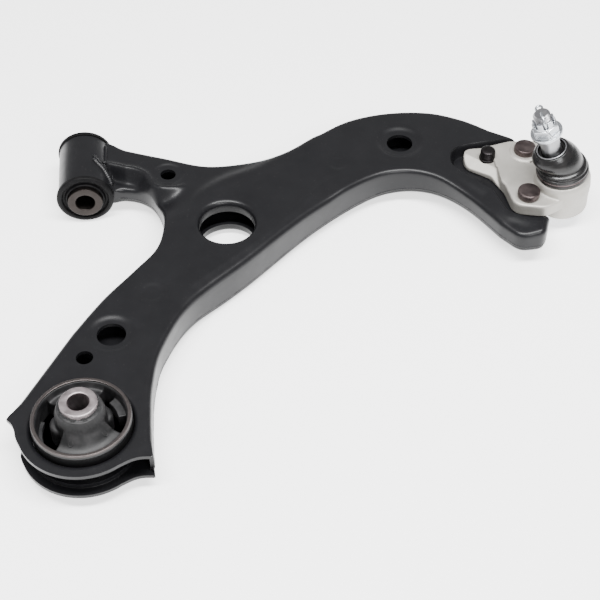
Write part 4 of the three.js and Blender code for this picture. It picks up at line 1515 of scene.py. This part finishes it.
def steel_finish(name, dark, light, low_rough, high_rough, relief_mm, ring_axis=None):
    material, tree, shader, where = new_finish(name, Metallic=1.0)
    cloud = add(tree, "ShaderNodeTexNoise", {"Vector": where, "Scale": per(5), "Detail": 6})
    if ring_axis:
        moved = add(tree, "ShaderNodeVectorMath", {0: where, 1: tuple(home)}, operation="SUBTRACT")
        marks = add(tree, "ShaderNodeTexWave", {
            "Vector": moved.outputs["Vector"], "Scale": per(0.5) * WAVE_REPEAT,
            "Distortion": 0.6, "Detail": 1.0,
        }, wave_type="RINGS", rings_direction=ring_axis)
        relief = marks.outputs["Fac"]
    else:
        pits = add(tree, "ShaderNodeTexNoise", {"Vector": where, "Scale": per(0.5), "Detail": 3})
        relief = pits.outputs["Fac"]
    weather(
        tree, shader, cloud.outputs["Fac"], (dark, light), (low_rough, high_rough),
        [(relief, relief_mm)], rough_from=(0.3, 0.7),
    )
    return material


turned_steel = steel_finish("turned_steel", "#7f7779", "#a39b9c", 0.34, 0.52, 0.012, "Z")
# The front sleeve's far darker steel is painted shade for the weaker light on its face.
shaded_faced_steel = steel_finish("shaded_faced_steel", "#23201f", "#383432", 0.34, 0.52, 0.012, "Y")
ground_steel = steel_finish("ground_steel", "#85858a", "#afafb0", 0.26, 0.42, 0.004)
oxide_steel = steel_finish("oxide_steel", "#1c1b1c", "#312e2f", 0.36, 0.5, 0.02)
phosphated_steel = steel_finish("phosphated_steel", "#453d3d", "#685e5d", 0.36, 0.54, 0.02)
zinc_plate = steel_finish("zinc_plate", "#a4a8ad", "#ced1d5", 0.2, 0.36, 0.015)
print("steels:", [m.name for m in (turned_steel, shaded_faced_steel, ground_steel, oxide_steel)])

# %% [markdown]
# ## The rear ring: painted outside, bright on its edge
#
# The bush's outer ring is pressed in after the dip, so its faced edge is bare and bright
# while its side is black. The finish changes over with height, across half a millimetre
# just under that edge.

# %% Ring finish
ring_steel, tree, shader, where = new_finish("ring_steel")
level = add(tree, "ShaderNodeSeparateXYZ", {"Vector": where})
bare = add(tree, "ShaderNodeMapRange", {
    "Value": level.outputs["Z"],
    "From Min": home.z + 18.6 * MM, "From Max": home.z + 19.1 * MM,
})
colour = add(tree, "ShaderNodeMix", {
    "Factor": bare.outputs["Result"], "A": linear("#0c0c0d"), "B": linear("#565150"),
}, data_type="RGBA")
tree.links.new(colour.outputs["Result"], shader.inputs["Base Color"])
tree.links.new(bare.outputs["Result"], shader.inputs["Metallic"])
scuffs = add(tree, "ShaderNodeTexNoise", {"Vector": where, "Scale": per(1.5), "Detail": 4})
rough = add(tree, "ShaderNodeMapRange", {
    "Value": scuffs.outputs["Fac"], "To Min": 0.25, "To Max": 0.5,
})
tree.links.new(rough.outputs["Result"], shader.inputs["Roughness"])
bump = add(tree, "ShaderNodeBump", {
    "Height": scuffs.outputs["Fac"], "Strength": 1.0, "Distance": 0.03 * MM,
})
tree.links.new(bump.outputs["Normal"], shader.inputs["Normal"])
print("ring finish:", len(tree.nodes), "nodes")

# %% [markdown]
# ## Zinc-flake coating
#
# The forging is shot-blasted and dipped in a paint of zinc and aluminium flakes, which
# bakes to a matt, slightly warm silver. The flakes scatter light, so it is only partly
# metallic and rather rough; the blasting leaves shallow pits under a millimetre across.

# %% Zinc-flake finish
zinc_flake, tree, shader, where = new_finish("zinc_flake", Metallic=0.55)
stain = add(tree, "ShaderNodeTexNoise", {"Vector": where, "Scale": per(12), "Detail": 5})
shot = add(tree, "ShaderNodeTexVoronoi", {"Vector": where, "Scale": per(0.9)})
weather(
    tree, shader, stain.outputs["Fac"], ("#98958f", "#b4b1ab"), (0.45, 0.62),
    [(shot.outputs["Distance"], 0.05), (stain.outputs["Fac"], 0.35)],
)
print("zinc flake:", len(tree.nodes), "nodes")

# %% [markdown]
# ## Acetal
#
# The ball runs in two moulded acetal seats: creamy white, waxy and a little translucent.

# %% Acetal finish
acetal, tree, shader, where = new_finish("acetal", IOR=1.48, Metallic=0.0)
cream = add(tree, "ShaderNodeTexNoise", {"Vector": where, "Scale": per(8), "Detail": 2})
weather(tree, shader, cream.outputs["Fac"], ("#dcd7c6", "#ece8da"), (0.35, 0.5))
print("acetal:", len(tree.nodes), "nodes")

# %% [markdown]
# ## Dressing every piece
#
# Each new piece stands for its node of the packed model and takes one finish, and all
# but the rubber that spans a joint ride on the body that carries them.

# %% Ride, replace and paint


def dress(piece, finish, node=None, on="arm", sharp=35):
    piece.data.materials.clear()
    piece.data.materials.append(finish)
    shade(piece, sharp)
    if on:
        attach(piece, on)
    if node:
        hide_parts(node)


dress(upper_shell, electrocoat, "upper_shell", sharp=40)
dress(lower_shell, electrocoat, "lower_shell", sharp=40)
dress(eye_tube, electrocoat, "front_eye_tube")
dress(eye_weld, electrocoat, sharp=60)
dress(seam_weld, electrocoat, sharp=60)
dress(front_can, turned_steel, "front_bush_outer_sleeve")
dress(front_rubber, shaded_lip_rubber, "front_bush_rubber", sharp=50)
dress(front_sleeve, shaded_faced_steel, "front_bush_inner_sleeve", "front_sleeve")
dress(rear_ring, ring_steel, "rear_bush_outer_sleeve")
dress(rear_sleeve, turned_steel, "rear_bush_inner_sleeve", "rear_sleeve")
dress(rear_rubber_top, moulded_rubber, "rear_bush_rubber", None, 60)
dress(rear_rubber_foot, moulded_rubber, "rear_bush_rubber", None, 60)
dress(bracket, zinc_flake, "ball_joint_bracket", sharp=50)
dress(near_stud, phosphated_steel, "press_stud_near")
dress(far_stud, phosphated_steel, "press_stud_far")
dress(near_nut, phosphated_steel, "flange_nut_near")
dress(far_nut, phosphated_steel, "flange_nut_far")
dress(lug_bolt_shank, oxide_steel, "bracket_bolt")
dress(lug_bolt_head, oxide_steel, "bracket_bolt")
dress(ball_stud, ground_steel, "ball_stud", "stud")
dress(castle_nut, zinc_plate, "castle_nut", "stud")
dress(split_pin, zinc_plate, "cotter_pin", "stud")
dress(boot_bellows, boot_rubber, "dust_boot", None, 50)
dress(boot_dome, boot_rubber, "dust_boot", None, 50)
dress(foot_wire, phosphated_steel, "boot_base_ring")
dress(lip_wire, ground_steel, "boot_top_ring", "boot_lip")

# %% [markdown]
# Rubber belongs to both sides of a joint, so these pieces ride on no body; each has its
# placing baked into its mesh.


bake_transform(rear_rubber_top)
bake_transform(rear_rubber_foot)
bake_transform(boot_bellows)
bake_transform(boot_dome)

# %% [markdown]
# Four pieces inside the housing are never seen and keep their measured shape. They still
# get the finish of what they are made of.

# %% Finishes for the hidden pieces that keep their measured shape
for node, finish in (
    ("upper_ball_seat", acetal), ("lower_ball_seat", acetal), ("preload_spring", turned_steel),
    ("housing_end_cap", zinc_plate),
):
    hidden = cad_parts[node]
    hidden.data.materials.clear()
    hidden.data.materials.append(finish)

# %% [markdown]
# ## Floor, light and camera
#
# The arm lies on a pale table, lit the way a catalogue shot is: a strong soft box
# overhead that draws a fine bright line along each fold, a translucent table lit from
# beneath, bright enough to light the walls, and a quiet surround for the level faces.

# %% Floor
FLOOR_HALF = 4.0
floor_mesh = bpy.data.meshes.new("studio_table")
floor_mesh.from_pydata(
    [(x * FLOOR_HALF, y * FLOOR_HALF, 0) for x, y in ((-1, -1), (1, -1), (1, 1), (-1, 1))],
    [], [(0, 1, 2, 3)],
)
floor = bpy.data.objects.new("studio_table", floor_mesh)
scene.collection.objects.link(floor)
TABLE_GLOW = 1.5
table_paint, tree, shader, _ = new_finish("table_paint", Roughness=0.6)
shader.inputs["Base Color"].default_value = linear("#f2f2f2")
shader.inputs["Emission Color"].default_value = linear("#ffffff")
shader.inputs["Emission Strength"].default_value = TABLE_GLOW
floor_mesh.materials.append(table_paint)
print("table:", 2 * FLOOR_HALF, "m across")

# %% [markdown]
# The overhead box is long and narrow, for a thin line in the folds. The front box fills
# the walls that face the camera, and the surround lifts everything evenly.

# %% Lights and surround


def soft_box(name, place, aim, width, depth, power):
    lamp = bpy.data.lights.new(name, "AREA")
    lamp.shape = "RECTANGLE"
    lamp.size = width
    lamp.size_y = depth
    lamp.energy = power
    box = bpy.data.objects.new(name, lamp)
    box.location = place
    box.rotation_euler = (Vector(aim) - Vector(place)).to_track_quat("-Z", "Y").to_euler()
    scene.collection.objects.link(box)


OVERHEAD_WATTS, FRONT_WATTS, SURROUND = 76, 30, 0.6
soft_box("overhead_box", (0.0, -0.25, 1.5), (0, 0, 0), 1.6, 0.3, OVERHEAD_WATTS)
soft_box("front_box", (0.5, -1.7, 1.5), (0, 0, 0), 0.9, 0.35, FRONT_WATTS)
world = bpy.data.worlds.new("studio_surround")
scene.world = world
world.use_nodes = True
world.node_tree.nodes["Background"].inputs["Color"].default_value = (1, 1, 1, 1)
world.node_tree.nodes["Background"].inputs["Strength"].default_value = SURROUND
print("lights:", OVERHEAD_WATTS, "W overhead and", FRONT_WATTS, "W in front")

# %% [markdown]
# The camera looks down on the arm from a little left of straight ahead, through a long
# lens, so that the far end is hardly smaller than the near one.

# %% Camera
AIM = UPRIGHT @ (Vector((161.7, 110.5, 0)) * MM)
AZIMUTH = math.radians(-6)
ELEVATION = math.radians(47)
DISTANCE = 1.02
LENS, SENSOR = 81, 36  # both in millimetres
towards_camera = Vector((
    math.sin(AZIMUTH) * math.cos(ELEVATION),
    -math.cos(AZIMUTH) * math.cos(ELEVATION),
    math.sin(ELEVATION),
))
view = bpy.data.cameras.new("catalogue_view")
view.lens = LENS
view.sensor_width = SENSOR
camera = bpy.data.objects.new("catalogue_view", view)
camera.location = AIM + towards_camera * DISTANCE
camera.rotation_euler = (-towards_camera).to_track_quat("-Z", "Y").to_euler()
scene.collection.objects.link(camera)
scene.camera = camera
print("camera at", [round(c, 3) for c in camera.location])
